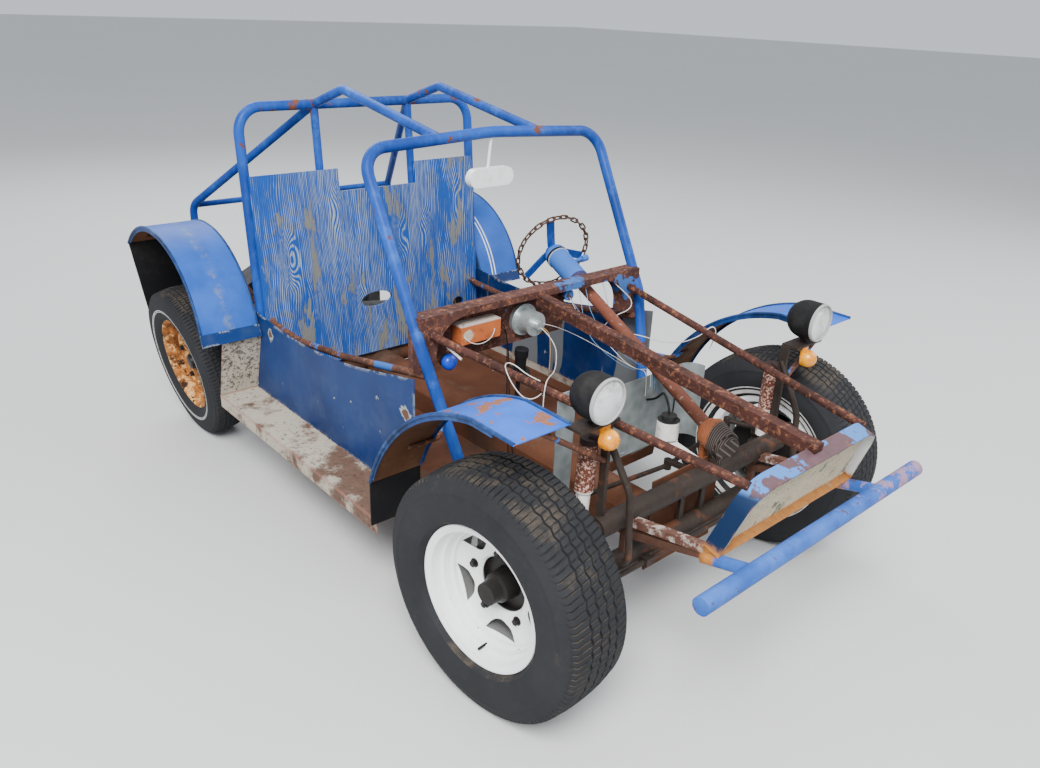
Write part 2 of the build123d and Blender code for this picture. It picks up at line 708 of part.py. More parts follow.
save(seat_back.part, "seat_back")


def wheel_plane(x, station, z, axle):
    """A plane whose local X is the axle, pointing outboard, and local Y is a radius."""
    return Plane(origin=place(x, station, z), x_dir=axle, z_dir=axle.cross(Vector(0, 0, 1)))


def tyre(plane, width, outer, seat):
    """A tyre as one ring, with round shoulders and bulged walls."""
    tread = width * TREAD_SHARE
    with BuildSketch(plane) as profile:
        with BuildLine():
            bead = width * 0.36
            Line((-bead, seat), (bead, seat))
            ThreePointArc((bead, seat), (width / 2, (seat + outer) * 0.5), (tread, outer - TREAD_DROP))
            ThreePointArc((tread, outer - TREAD_DROP), (0, outer), (-tread, outer - TREAD_DROP))
            ThreePointArc((-tread, outer - TREAD_DROP), (-width / 2, (seat + outer) * 0.5), (-bead, seat))
        make_face()
    revolve(profile.sketch, axis=Axis(plane.origin, plane.x_dir))


def rim(plane, width, seat, flange, disc_face, disc_edge, disc_hole):
    """A pressed steel wheel: barrel, flanges and a dished disc with a centre hole."""
    half = width / 2
    dish_radius = seat * 0.62
    with BuildSketch(plane) as profile:
        with BuildLine():
            Polyline(
                (-half, flange),
                (-half, seat - 8),
                (-half + 40, seat - 28),
                (half - 40, seat - 28),
                (half, seat - 8),
                (half, flange),
                (half - 5, flange),
                (half - 5, seat),
                (half - 36, seat - 20),
                (-half + 36, seat - 20),
                (-half + 5, seat),
                (-half + 5, flange),
                close=True,
            )
        make_face()
    revolve(profile.sketch, axis=Axis(plane.origin, plane.x_dir))
    with BuildSketch(plane) as dish:
        with BuildLine():
            Polyline(
                (disc_edge - 8, seat - 26),
                (disc_face - 6, dish_radius),
                (disc_face - 6, disc_hole),
                (disc_face, disc_hole),
                (disc_face, dish_radius),
                (disc_edge, seat - 26),
                close=True,
            )
        make_face()
    revolve(dish.sketch, axis=Axis(plane.origin, plane.x_dir))


camber = radians(CAMBER)
steer = radians(REST_STEER)
rear_crown = dome_radius(REAR_TYRE_WIDTH * TREAD_SHARE, TREAD_DROP)
REAR_WHEEL_Z = (REAR_TYRE / 2 - rear_crown) * cos(camber) + rear_crown
FRONT_WHEEL_Z = FRONT_TYRE / 2
kingpin_offset = FRONT_WHEEL_X - KINGPIN_X
for name, side in SIDES:
    front_axle = Vector(side * cos(steer), side * sin(steer), 0)
    front_x = side * KINGPIN_X + front_axle.X * kingpin_offset
    front_plane = wheel_plane(front_x, front_axle.Y * kingpin_offset, FRONT_WHEEL_Z, front_axle)
    with BuildPart() as front_tyre:
        tyre(front_plane, FRONT_TYRE_WIDTH, FRONT_TYRE / 2, RIM_SEAT / 2 + GAP)
    with BuildPart() as front_rim:
        rim(front_plane, 185, RIM_SEAT / 2, RIM_FLANGE / 2, 4, 12, 80)
    with BuildPart() as front_hub:
        with BuildSketch(front_plane) as hub:
            with BuildLine():
                Polyline(
                    (-75, 0), (-75, 125), (-2, 125), (-2, 94), (-24, 84), (-24, 46),
                    (20, 42), (26, 34), (60, 32), (60, 0), close=True
                )
            make_face()
        revolve(hub.sketch, axis=Axis(front_plane.origin, front_plane.x_dir))
        add(front_rim.part, mode=Mode.SUBTRACT)
    front_tyre_cut = front_tyre.part - front_rim.part
    save(front_tyre_cut, f"tyre_front_{name}")
    save(front_rim.part, f"wheel_front_{name}")
    save(front_hub.part, f"hub_front_{name}")

    rear_axle = Vector(side * cos(camber), 0, -sin(camber))
    rear_plane = wheel_plane(side * REAR_WHEEL_X, WHEELBASE, REAR_WHEEL_Z, rear_axle)
    with BuildPart() as rear_tyre:
        tyre(rear_plane, REAR_TYRE_WIDTH, REAR_TYRE / 2, RIM_SEAT / 2 + GAP)
    with BuildPart() as rear_rim:
        rim(rear_plane, 125, RIM_SEAT / 2, RIM_FLANGE / 2 - 8, 18, 0, 45)
    with BuildPart() as rear_hub:
        with BuildSketch(rear_plane) as hub:
            with BuildLine():
                Polyline((-70, 0), (-70, 125), (-14, 125), (-14, 60), (8, 60), (16, 36), (34, 30), (34, 0), close=True)
            make_face()
        revolve(hub.sketch, axis=Axis(rear_plane.origin, rear_plane.x_dir))
        add(rear_rim.part, mode=Mode.SUBTRACT)
    rear_tyre_cut = rear_tyre.part - rear_rim.part
    save(rear_tyre_cut, f"tyre_rear_{name}")
    save(rear_rim.part, f"wheel_rear_{name}")
    save(rear_hub.part, f"hub_rear_{name}")

# Knuckles: a yoke round the kingpin, the stub axle and the steering arm
for name, side in SIDES:
    front_axle = Vector(side * cos(steer), side * sin(steer), 0)
    arm_run = Vector(-sin(steer), cos(steer), 0)
    pin = place(side * KINGPIN_X, 0, 0)
    ball_seat = pin + Vector(0, 0, STEER_ARM_Z + 10) + arm_run * STEER_ARM
    with BuildPart() as knuckle:
        stub_start = pin + Vector(0, 0, FRONT_WHEEL_Z) + front_axle * 26
        pipe([stub_start, stub_start + front_axle * (kingpin_offset - 75 - 26 - GAP)], 0, 36)
        for z in (298, 452):
            with Locations(Location(pin + Vector(0, 0, z - 9), (0, 0, 0))):
                Cylinder(20, 18, align=(Align.CENTER, Align.CENTER, Align.MIN))
            bar(pin + Vector(0, 0, z), pin + front_axle * 34 + Vector(0, 0, z), 30, 18)
        bar(pin + front_axle * 34 + Vector(0, 0, 289), pin + front_axle * 34 + Vector(0, 0, 461), 20, 30, front_axle)
        arm_root = pin + front_axle * 30 + Vector(0, 0, STEER_ARM_Z + 21)
        pipe([arm_root, ball_seat + Vector(0, 0, 11)], 0, 18)
        pipe([ball_seat, ball_seat + Vector(0, 0, 22)], 0, 26)
        with Locations(Location(pin + Vector(0, 0, 300), (0, 0, 0))):
            Cylinder(8, 152, align=(Align.CENTER, Align.CENTER, Align.MIN))
    save(knuckle.part, f"knuckle_{name}")

# Trailing arms from the torsion tubes to the kingpin carriers
with BuildPart() as trailing_arms:
    for name, side in SIDES:
        pin = place(side * KINGPIN_X, 0, 0)
        for level, arm_z in ((0, 415), (BEAM_SPACING, 335)):
            root = place(side * (BEAM_HALF + 12), BEAM_STATION, BEAM_UPPER_Z - level)
            pipe([root - Vector(side * 12, 0, 0), root + Vector(side * 14, 0, 0)], 0, BEAM_TUBE - 14)
            pipe([root, pin + Vector(-side * 26, 0, arm_z)], 0, 30)
            pipe([pin + Vector(-side * 34, 0, arm_z), pin + Vector(0, 0, arm_z)], 0, 26)
        with Locations(Location(pin + Vector(0, 0, 315), (0, 0, 0))):
            Cylinder(16, 120, align=(Align.CENTER, Align.CENTER, Align.MIN))
        with Locations(Location(pin + Vector(0, 0, 300), (0, 0, 0))):
            Cylinder(8 + GAP, 152, align=(Align.CENTER, Align.CENTER, Align.MIN), mode=Mode.SUBTRACT)
    add(front_beam.part, mode=Mode.SUBTRACT)
save(trailing_arms.part, "trailing_arms")

# Shock absorbers between the towers and the upper arms
with BuildPart() as shocks:
    for name, side in SIDES:
        top = place(side * 422, -75, 758)
        foot = place(side * 430, -70, 500)
        mid = top + (foot - top) * 0.62
        pipe([top, mid], 0, 52)
        pipe([mid, foot], 0, 40)
        pipe([place(side * TOWER_X, TOWER_STATION, 758), top], 0, 20)
    add(front_beam.part, mode=Mode.SUBTRACT)
    add(trailing_arms.part, mode=Mode.SUBTRACT)
save(shocks.part, "shocks", solids=2)

# Toe board: a bent galvanised sheet ahead of the pedals
with BuildPart() as toe_board:
    with BuildSketch(Plane.XY.offset(400)) as plan:
        with BuildLine():
            Line(place(-20, 225, 0), place(345, 225, 0))
            ThreePointArc(place(345, 225, 0), place(383, 207, 0), place(395, 165, 0))
            offset(amount=2, side=Side.LEFT)
        make_face()
    extrude(plan.sketch, amount=275)
    for leg_x in (75, 310):
        bar(place(leg_x, 222, 415), place(leg_x, FLOOR_FRONT + 4, RAIL_TOP - 2), 20, 4)
    block(place(-372, 100, 440), place(-302, 103, 800))
    add(floor_sheet, mode=Mode.SUBTRACT)
    add(backbone.part, mode=Mode.SUBTRACT)
    add(hood_rails.part, mode=Mode.SUBTRACT)
save(toe_board.part, "toe_board", solids=2)

# Steering box on the beam, its swinging arm and the two tie rods
PITMAN_X = 120
PITMAN_STATION = -60
STEERING_BOX = (98, 84, 70)
column_top = place(330, 800, 880)
column_low = place(PITMAN_X + 10, -60, 612)
column_run = (column_top - column_low).normalized()
box_centre = place(PITMAN_X, -100, BEAM_UPPER_Z + 93)
with BuildPart() as steering_box:
    for near, far, diameter in ((-45, 30, STEERING_BOX[0]), (-60, -45, STEERING_BOX[1]), (30, 48, STEERING_BOX[2])):
        pipe([box_centre + column_run * near, box_centre + column_run * far], 0, diameter)
    pipe([place(PITMAN_X, PITMAN_STATION, 560), place(PITMAN_X, PITMAN_STATION, 462)], 0, 26)
    pedestal_low = place(PITMAN_X - 30, BEAM_STATION - 20, BEAM_UPPER_Z)
    block(pedestal_low, place(PITMAN_X + 30, BEAM_STATION + 20, box_centre.Z - 48))
    add(front_beam.part, mode=Mode.SUBTRACT)
save(steering_box.part, "steering_box")

arm_run = Vector(-sin(steer), cos(steer), 0)
pitman_end = place(PITMAN_X, PITMAN_STATION, STEER_ARM_Z) + arm_run * STEER_ARM
with BuildPart() as pitman_arm:
    pitman_root = place(PITMAN_X, PITMAN_STATION, 447)
    pipe([pitman_root - Vector(0, 0, 9), pitman_root + Vector(0, 0, 14)], 0, 36)
    bar(pitman_root, pitman_root + arm_run * STEER_ARM, 24, 12)
    pipe([pitman_end + Vector(0, 0, 23), pitman_end - Vector(0, 0, 12)], 0, 26)
save(pitman_arm.part, "pitman_arm")

for name, side in SIDES:
    ball = place(side * KINGPIN_X, 0, STEER_ARM_Z) + arm_run * STEER_ARM
    with BuildPart() as tie_rod:
        span = pitman_end - ball
        along = span.normalized()
        pipe([ball, pitman_end - along * (13 + GAP)], 0, 16)
        pipe([ball - Vector(0, 0, 12), ball + Vector(0, 0, 10 - GAP)], 0, 26)
    save(tie_rod.part, f"tie_rod_{name}")

# Steering column: the tube from the steering box and the switch housing behind the dash
COLUMN_TUBE = 42
HOUSING = 84
HOUSING_END = 95
WHEEL_HUB = 60
WHEEL_HUB_LENGTH = 36
WHEEL_RING = 148
WHEEL_CHAIN = 20
SPOKE = (32, 6)
SPOKE_ANGLES = (107, 227, 347)
housing_end = column_top + column_run * HOUSING_END
column_side = column_run.cross(Vector(0, 0, 1)).normalized()
column_up = column_side.cross(column_run)
with BuildPart() as steering_column:
    pipe([column_low, column_top], 0, COLUMN_TUBE)
    pipe([column_top - column_run * 90, housing_end], 0, HOUSING)
    pipe([column_top + column_run * 62, column_top + column_run * 76], 0, HOUSING + 6)
    lever_root = column_top + column_run * 20
    pipe([lever_root, lever_root + column_side * 105 + column_run * 25], 0, 14)
    pipe([lever_root + column_side * 90 + column_run * 21, lever_root + column_side * 118 + column_run * 28], 0, 26)
    add(steering_box.part, mode=Mode.SUBTRACT)
    add(dash.part, mode=Mode.SUBTRACT)
    add(toe_board.part, mode=Mode.SUBTRACT)
save(steering_column.part, "steering_column")

# Steering wheel: a ring of welded chain on flat spokes
wheel_back = housing_end + column_run * GAP
wheel_centre = wheel_back + column_run * (WHEEL_HUB_LENGTH / 2)
with BuildPart() as steering_wheel:
    pipe([wheel_back, wheel_back + column_run * WHEEL_HUB_LENGTH], 0, WHEEL_HUB)
    with BuildSketch(Plane(origin=wheel_centre, x_dir=column_side, z_dir=column_up)) as chain_section:
        with Locations((WHEEL_RING, 0)):
            Circle(WHEEL_CHAIN / 2)
    revolve(chain_section.sketch, axis=Axis(wheel_centre, column_run))
    for spoke_angle in SPOKE_ANGLES:
        turn = radians(spoke_angle)
        spoke_run = column_side * cos(turn) + column_up * sin(turn)
        bar(wheel_centre, wheel_centre + spoke_run * WHEEL_RING, SPOKE[0], SPOKE[1], column_run.cross(spoke_run))
save(steering_wheel.part, "steering_wheel")

# Rear drive: the gear case between the fork arms and the two swing axle tubes
pivot_z = REAR_WHEEL_Z + (REAR_WHEEL_X - AXLE_PIVOT_X) * tan(camber)
with BuildPart() as transaxle:
    with BuildSketch(Plane(origin=place(0, WHEELBASE, pivot_z), x_dir=(0, 1, 0), z_dir=(1, 0, 0))) as case:
        with BuildLine():
            Polyline(
                (-350, 0), (-350, 60), (-280, 85), (-120, 95), (-70, 130),
                (60, 130), (75, 175), (95, 175), (95, 0), close=True
            )
        make_face()
    revolve(case.sketch, axis=Axis(place(0, WHEELBASE, pivot_z), (0, 1, 0)))
    for name, side in SIDES:
        hub_face = place(side * REAR_WHEEL_X, WHEELBASE, REAR_WHEEL_Z)
        axle_run = Vector(side * cos(camber), 0, -sin(camber))
        pipe([hub_face - axle_run * ((REAR_WHEEL_X - 60) / cos(camber)), hub_face - axle_run * (70 + GAP)], 0, 74)
        spring_end = hub_face - axle_run * 100
        bar(place(side * (TORSION_HALF - 20), TORSION_STATION, TORSION_Z), spring_end, 8, 60)
    add(floor_sheet, mode=Mode.SUBTRACT)
    add(backbone.part, mode=Mode.SUBTRACT)
    add(rear_frame.part, mode=Mode.SUBTRACT)
save(transaxle.part, "transaxle")

# Engine: crankcase, two banks of finned cylinders, fan housing and silencer
with BuildPart() as engine:
    engine_front = WHEELBASE + 95
    block(place(-115, engine_front, pivot_z - 130), place(115, engine_front + 300, pivot_z + 140))
    for name, side in SIDES:
        for cylinder in (90, 210):
            for fin in range(5):
                fin_x = 115 + fin * 34
                fin_plane = Plane(origin=place(side * fin_x, engine_front + cylinder, pivot_z), z_dir=(side, 0, 0))
                with BuildSketch(fin_plane) as ring:
                    Circle(56)
                extrude(ring.sketch, amount=22)
                with BuildSketch(fin_plane) as core:
                    Circle(46)
                extrude(core.sketch, amount=36)
        block(
            place(side * 318.5 - 31.5, engine_front + 20, pivot_z - 65),
            place(side * 318.5 + 31.5, engine_front + 280, pivot_z + 65),
        )
save(engine.part, "engine")

with BuildPart() as fan_shroud:
    housing_plane = Plane(origin=place(0, engine_front + 60, pivot_z), x_dir=(1, 0, 0), z_dir=(0, -1, 0))
    with BuildSketch(housing_plane) as housing:
        with BuildLine():
            Polyline((-350, 80), (-350, 150), (-190, 230), (-190, 300))
            ThreePointArc((-190, 300), (0, 480), (190, 300))
            Polyline((190, 300), (190, 230), (350, 150), (350, 80), (-350, 80))
        make_face()
    extrude(housing.sketch, amount=-150)
    add(engine.part, mode=Mode.SUBTRACT)
save(fan_shroud.part, "fan_shroud")

SILENCER_Z = 270
with BuildPart() as silencer:
    silencer_station = WHEELBASE + REAR_REACH - 65
    pipe([place(-330, silencer_station, SILENCER_Z), place(330, silencer_station, SILENCER_Z)], 0, 130)
    for name, side in SIDES:
        pipe(
            [
                place(side * 320, engine_front + 200, pivot_z - 65),
                place(side * 320, engine_front + 200, SILENCER_Z),
                place(side * 320, silencer_station, SILENCER_Z),
            ],
            45,
            38,
        )
save(silencer.part, "silencer")

# Small fittings: reservoir, instrument, fuse box, gear lever and mirror
SPEEDOMETER = (-33, 796)
with BuildPart() as brake_reservoir:
    with Locations(Location(place(60, 40, 560), (0, 0, 0))):
        Cylinder(36, 60, align=(Align.CENTER, Align.CENTER, Align.MIN))
        Cylinder(24, 76, align=(Align.CENTER, Align.CENTER, Align.MIN))
    bar(place(60, beam_rear - 2, 528), place(60, 66, 558), 30, 4)
    add(floor_sheet, mode=Mode.SUBTRACT)
    add(backbone.part, mode=Mode.SUBTRACT)
save(brake_reservoir.part, "brake_reservoir", solids=2)

panel_front = DASH_STATION + DASH_DEPTH - SHEET
with BuildPart() as speedometer:
    for front, rear, diameter in ((panel_front - 16, panel_front, 112), (566, panel_front - 16, 84), (546, 566, 30)):
        can_front = place(SPEEDOMETER[0], front, SPEEDOMETER[1])
        pipe([can_front, can_front + Vector(0, rear - front, 0)], 0, diameter)
    add(dash.part, mode=Mode.SUBTRACT)
    add(hood_rails.part, mode=Mode.SUBTRACT)
save(speedometer.part, "speedometer", solids=1)

with BuildPart() as fuse_box:
    block(place(-330, panel_front - 45, 775), place(-165, panel_front, 842))
    fillet(fuse_box.edges().filter_by(Axis.Y), 8)
save(fuse_box.part, "fuse_box")

with BuildPart() as gear_lever:
    lever_foot = place(0, 700, TUNNEL_TOP - 20)
    lever_head = place(0, 668, 665)
    lever_run = (lever_head - lever_foot).normalized()
    for low, high, diameter in ((0, 325, 16), (0, 60, 60), (228, 242, 76), (242, 300, 42), (300, 327, 50)):
        pipe([lever_foot + lever_run * low, lever_foot + lever_run * high], 0, diameter)
    add(floor_sheet, mode=Mode.SUBTRACT)
    add(backbone.part, mode=Mode.SUBTRACT)
save(gear_lever.part, "gear_lever")

with BuildPart() as mirror:
    with BuildSketch(Plane(origin=place(-17, 850, 1242), x_dir=(1, 0, 0), z_dir=(0, -1, 0))) as glass:
        SlotOverall(190, 62)
    extrude(glass.sketch, amount=14, both=True)
    pipe([place(-17, 866, 1250), place(0, 866, 1385)], 0, 10)
    add(windshield_hoop.part, mode=Mode.SUBTRACT)
save(mirror.part, "mirror")
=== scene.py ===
"""Looks of a derelict home-built dune buggy: paint, rust, tread, mesh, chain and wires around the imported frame."""
import json
import math
import random

import bmesh
import bpy
from mathutils import Matrix, Vector


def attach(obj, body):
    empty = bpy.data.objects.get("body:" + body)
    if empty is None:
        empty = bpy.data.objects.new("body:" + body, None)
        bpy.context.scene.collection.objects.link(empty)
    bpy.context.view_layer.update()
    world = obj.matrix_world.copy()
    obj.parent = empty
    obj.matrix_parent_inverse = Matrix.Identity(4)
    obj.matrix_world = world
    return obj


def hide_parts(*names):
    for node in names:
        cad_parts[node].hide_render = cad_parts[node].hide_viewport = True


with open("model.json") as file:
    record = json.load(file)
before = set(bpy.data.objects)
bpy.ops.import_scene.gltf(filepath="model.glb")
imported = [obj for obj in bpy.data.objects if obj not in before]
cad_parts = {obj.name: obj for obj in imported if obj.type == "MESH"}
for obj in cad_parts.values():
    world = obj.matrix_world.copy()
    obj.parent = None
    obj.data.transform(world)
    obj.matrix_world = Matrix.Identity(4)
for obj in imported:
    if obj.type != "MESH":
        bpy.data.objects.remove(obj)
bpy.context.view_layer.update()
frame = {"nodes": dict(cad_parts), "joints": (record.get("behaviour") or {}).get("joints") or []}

# Cage of bent steel tube: main hoop, windshield hoop, roof braces and rear braces.
# Hand-brushed blue enamel, chalky on top, rubbed through to brown rust at bends and welds.
UP = Vector((0, 0, 1))


class Layer:
    """A value that a material has at each spot; sums, products, steps and blends of it are nodes."""

    def __init__(self, look, socket):
        self.look, self.socket = look, socket

    def __add__(self, other):
        return self.look.maths("ADD", self, other)

    def __sub__(self, other):
        return self.look.maths("SUBTRACT", self, other)

    def __rsub__(self, other):
        return self.look.maths("SUBTRACT", other, self)

    def __mul__(self, other):
        return self.look.maths("MULTIPLY", self, other)

    def off(self, value):
        return self.look.maths("ABSOLUTE", self - value)

    def sine(self, pitch):
        return self.look.maths("SINE", self * pitch)

    def step(self, low, high):
        """0 before low and 1 past high, smooth between them; high may be the lower one."""
        ends = {"Value": self, "From Min": low, "From Max": high}
        return self.look.made("ShaderNodeMapRange", "Result", ends, interpolation_type="SMOOTHSTEP")

    def mix(self, base, top):
        return self.look.made("ShaderNodeMix", 2, {0: self, 6: base, 7: top}, data_type="RGBA")


class Finish:
    """A procedural material on Object coordinates: a ground, and coats laid over it in order.

    A mask is a Layer, or a tuple of what noise takes.
    """

    def __init__(self, name, roughness, metallic=0.0):
        self.material = bpy.data.materials.new(name)
        self.material.use_nodes = True
        self.tree = self.material.node_tree
        self.shader = self.tree.nodes["Principled BSDF"]
        # weathered paint and rust throw back less than clean plastic or glass
        self.set("Specular IOR Level", 0.16 if roughness > 0.3 else 0.5)
        self.set("Roughness", roughness)
        self.set("Metallic", metallic)
        self.place = self.made("ShaderNodeTexCoord", "Object")

    def feed(self, socket, value):
        if isinstance(value, Layer):
            self.tree.links.new(value.socket, socket)
        elif isinstance(value, tuple) and len(socket.default_value) == 4:
            socket.default_value = (*value, 1.0)
        else:
            socket.default_value = value

    def set(self, name, value):
        self.feed(self.shader.inputs[name], value)

    def made(self, kind, output, inputs=(), **settings):
        """A new node's output; inputs gives the values of its sockets."""
        node = self.tree.nodes.new(kind)
        for key, value in settings.items():
            setattr(node, key, value)
        for key, value in dict(inputs).items():
            self.feed(node.inputs[key], value)
        return Layer(self, node.outputs[output])

    def maths(self, operation, first, second=0.0):
        return self.made("ShaderNodeMath", 0, {0: first, 1: second}, operation=operation)

    def vector(self, operation, first, second):
        output = "Value" if operation in ("DOT_PRODUCT", "LENGTH", "DISTANCE") else "Vector"
        return self.made("ShaderNodeVectorMath", output, {0: first, 1: second}, operation=operation)

    def normal(self):
        return self.made("ShaderNodeNewGeometry", "Normal")

    def noise(self, scale, detail=5, grit=0.55, low=None, high=None, share=None, stretch=(1, 1, 1), shift=(0, 0, 0)):
        """Clouds, cut from low to high and thinned to a share where these are given."""
        spot = self.place
        if stretch != (1, 1, 1) or shift != (0, 0, 0):
            spot = self.made("ShaderNodeMapping", 0, {"Vector": spot, "Location": shift, "Scale": stretch})
        inputs = {"Vector": spot, "Scale": scale, "Detail": detail, "Roughness": grit}
        cloud = self.made("ShaderNodeTexNoise", "Fac", inputs)
        if low is not None:
            cloud = cloud.step(low, high)
        return cloud if share is None else cloud * share

    def mask(self, what):
        return what if isinstance(what, Layer) else self.noise(*what)

    def axis(self, letter, of=None):
        return self.made("ShaderNodeSeparateXYZ", letter, {0: of or self.place})

    def near(self, spot, far, close):
        """Rises from 0 at one distance from a spot to 1 at another."""
        return self.vector("DISTANCE", self.place, spot).step(far, close)

    def edges(self, reach):
        """How much a spot lies on a worn edge, from 0 to 1."""
        rounded = self.made("ShaderNodeBevel", 0, {"Radius": reach}, samples=4)
        return self.vector("DOT_PRODUCT", rounded, self.normal()).step(0.985, 0.80)

    def ground(self, mask, dark, light):
        self.tone = self.mask(mask).mix(dark, light)

    def coat(self, mask, colour):
        self.tone = self.mask(mask).mix(self.tone, colour)

    def finish(self, relief, depth, roughness=None):
        """Ends the material with its relief, as deep as depth in metres."""
        self.set("Base Color", self.tone)
        if roughness is not None:
            self.set("Roughness", roughness)
        inputs = {"Strength": 1.0, "Distance": depth, "Height": self.mask(relief)}
        self.set("Normal", self.made("ShaderNodeBump", 0, inputs))
        return self.material


def dress(material, *names):
    """Gives CAD nodes their material."""
    for name in names:
        for holder in frame["nodes"][name].material_slots:
            holder.material = material


def worn_enamel(name, paint, deep, chalk, rust_from):
    """Brushed enamel with chalky and thin patches, and rust that breaks through above a threshold."""
    look = Finish(name, 0.5)
    look.ground((3.5, 4, 0.55, 0.35, 0.65), deep, paint)
    look.coat((11, 7, 0.65, 0.52, 0.80), chalk)
    look.coat(look.noise(40, 3, 0.6, 0.45, 0.75, 0.25, stretch=(1, 1, 0.25)), chalk)
    bare = (look.noise(7, 9, 0.68) + look.edges(0.006) * 0.10).step(rust_from, rust_from + 0.025)
    look.coat(bare, look.noise(60).mix((0.055, 0.022, 0.014), (0.23, 0.085, 0.035)))
    look.coat((24, 6, 0.7, 0.62, 0.80, 0.5), (0.06, 0.05, 0.045))
    return look.finish(look.noise(90, 4) - bare, 0.0006, bare * 0.32 + look.noise(30, 3) * 0.25 + 0.32)


hoop_blue = worn_enamel("hoop_blue", (0.011, 0.070, 0.35), (0.006, 0.038, 0.21), (0.040, 0.14, 0.45), 0.612)
dress(hoop_blue, "main_hoop", "windshield_hoop", "roof_braces", "rear_frame")

# Dash, hood rails, side tubes and fender stays: folded and drawn steel that has lost its blue paint.
# Red-brown rust with pale pink primer, flaked paint and a little blue left on the top face.


def old_rust(name, dark, warm, pale, paint_share, paint, lean=0.0):
    """Bare steel gone to rust, with pale primer scuffs and a share of old paint, more of it towards +X by lean."""
    look = Finish(name, 0.85)
    look.ground((9, 8, 0.65, 0.35, 0.68), dark, warm)
    look.coat((55, 8, 0.7, 0.50, 0.72), (0.30, 0.12, 0.06))
    chips = look.noise(34, 6, 0.7, shift=(3.1, 1.7, 0.4))
    look.coat(chips.step(0.60, 0.68) * 0.8, pale)
    film = look.noise(8, 9, 0.65, shift=(7.3, 2.2, 5.1)) + look.axis("X") * lean
    look.coat(film.step(0.72 - 0.3 * paint_share, 0.74 - 0.3 * paint_share), paint)
    look.coat((18, 6, 0.7, 0.58, 0.78, 0.7), (0.035, 0.022, 0.018))
    return look.finish(look.noise(120, 6, 0.7) + chips * 1.5, 0.0009, chips * 0.4 + 0.55)


rail_rust = old_rust(
    "rail_rust", (0.035, 0.015, 0.012), (0.080, 0.030, 0.023), (0.26, 0.14, 0.105), 0.10, (0.10, 0.22, 0.55)
)
dash_rust = old_rust(
    "dash_rust", (0.045, 0.020, 0.017), (0.105, 0.044, 0.034), (0.21, 0.14, 0.125), 0.36, (0.045, 0.13, 0.36), 0.20
)
tube_rust = old_rust(
    "tube_rust", (0.055, 0.026, 0.019), (0.125, 0.055, 0.036), (0.32, 0.22, 0.17), 0.50, (0.04, 0.13, 0.40)
)
dress(rail_rust, "hood_rails")
dress(dash_rust, "dash")
dress(tube_rust, "side_tubes", "fender_stays")

# Floor pan: the sheet floor, its rail frame and the tunnel, open to the weather for years.
# Brown rust under dry silt that has gathered in the low places.
look = Finish("floor_rust", 0.9)
look.ground((6, 8, 0.65), (0.045, 0.018, 0.011), (0.18, 0.070, 0.035))
look.coat((4.5, 9, 0.7, 0.50, 0.66, 0.5), (0.13, 0.095, 0.066))
look.coat(look.noise(2.2, 6, 0.6, 0.55, 0.68, 0.7, shift=(4, 1, 2)), (0.035, 0.024, 0.018))
dress(look.finish((70, 9, 0.75), 0.002), "floor_pan", "backbone")

# Running boards: folded steel sheets with a riser up to the rear fender.
# Cream primer at the rear end and on the riser, freckled black, that gives way to brown rust forward.
look = Finish("board_primer", 0.85)
look.ground((14, 8, 0.7), (0.34, 0.29, 0.22), (0.52, 0.48, 0.40))
wear = look.axis("Y") * -0.16 + look.noise(7, 9, 0.7)
look.coat(wear.step(0.44, 0.58), look.noise(30, 7, 0.7).mix((0.060, 0.034, 0.024), (0.19, 0.115, 0.082)))
freckle = look.noise(75, 7, 0.75) + look.noise(9, 3) * 0.16 + look.axis("Z").step(0.318, 0.335) * 0.065
look.coat(freckle.step(0.655, 0.70) * 0.85, (0.045, 0.035, 0.03))
look.coat(look.edges(0.012) * 0.7, (0.36, 0.16, 0.12))
dress(look.finish((90, 8, 0.75), 0.0012), "running_boards")

# Side panels: flat steel sheets in dark blue enamel, screwed along the frame.
# The edges are chipped to grey and rust, and the paint has flaked off in grey primer patches.
look = Finish("panel_enamel", 0.42)
look.ground((2.5, 4, 0.55, 0.3, 0.7), (0.004, 0.021, 0.095), (0.008, 0.038, 0.155))
look.coat((9, 8, 0.7, 0.42, 0.75, 0.16), (0.12, 0.16, 0.24))
spots = look.noise(13, 9, 0.65) + look.edges(0.016) * 0.17
PANEL_CHIPS = (((-0.55, -0.42, 0.60), 0.06), ((-0.55, -0.09, 0.52), 0.025), ((-0.55, 0.50, 0.585), 0.04))
for spot, reach in PANEL_CHIPS:
    spots += look.near(spot, reach, 0) * 0.3
cut = spots.step(0.655, 0.665)
look.coat(cut, (0.30, 0.33, 0.33))
look.coat(spots.step(0.735, 0.755), (0.13, 0.065, 0.045))
bare = look.noise(1, 4, 0.5, 0.52, 0.54, stretch=(6, 5.5, 1.0), shift=(0, 3, 0))
look.coat(bare * look.axis("X").step(0.3, 0.32), (0.155, 0.165, 0.17))
panel_enamel = look.finish(cut, -0.0008, cut * 0.4 + 0.38)
dress(panel_enamel, "side_panels")

# Fenders: steel sheets rolled over the wheels, with a wired edge along each side.
# Light blue enamel outside with scabs of rust and a faded streak, brown rust and dried mud inside.
FRONT_AXLE = Vector((0, -1.012, 0.356))
REAR_AXLE = Vector((0, 1.020, 0.324))
FENDER_SCABS = (((-0.64, -0.93, 0.83), 0.085), ((-0.60, -1.10, 0.87), 0.05), ((-0.70, -0.87, 0.80), 0.05))
STRIPES, STRIPE_HALF, STREAK = (0.632, 0.650), (0.0035, 0.0025), -0.675


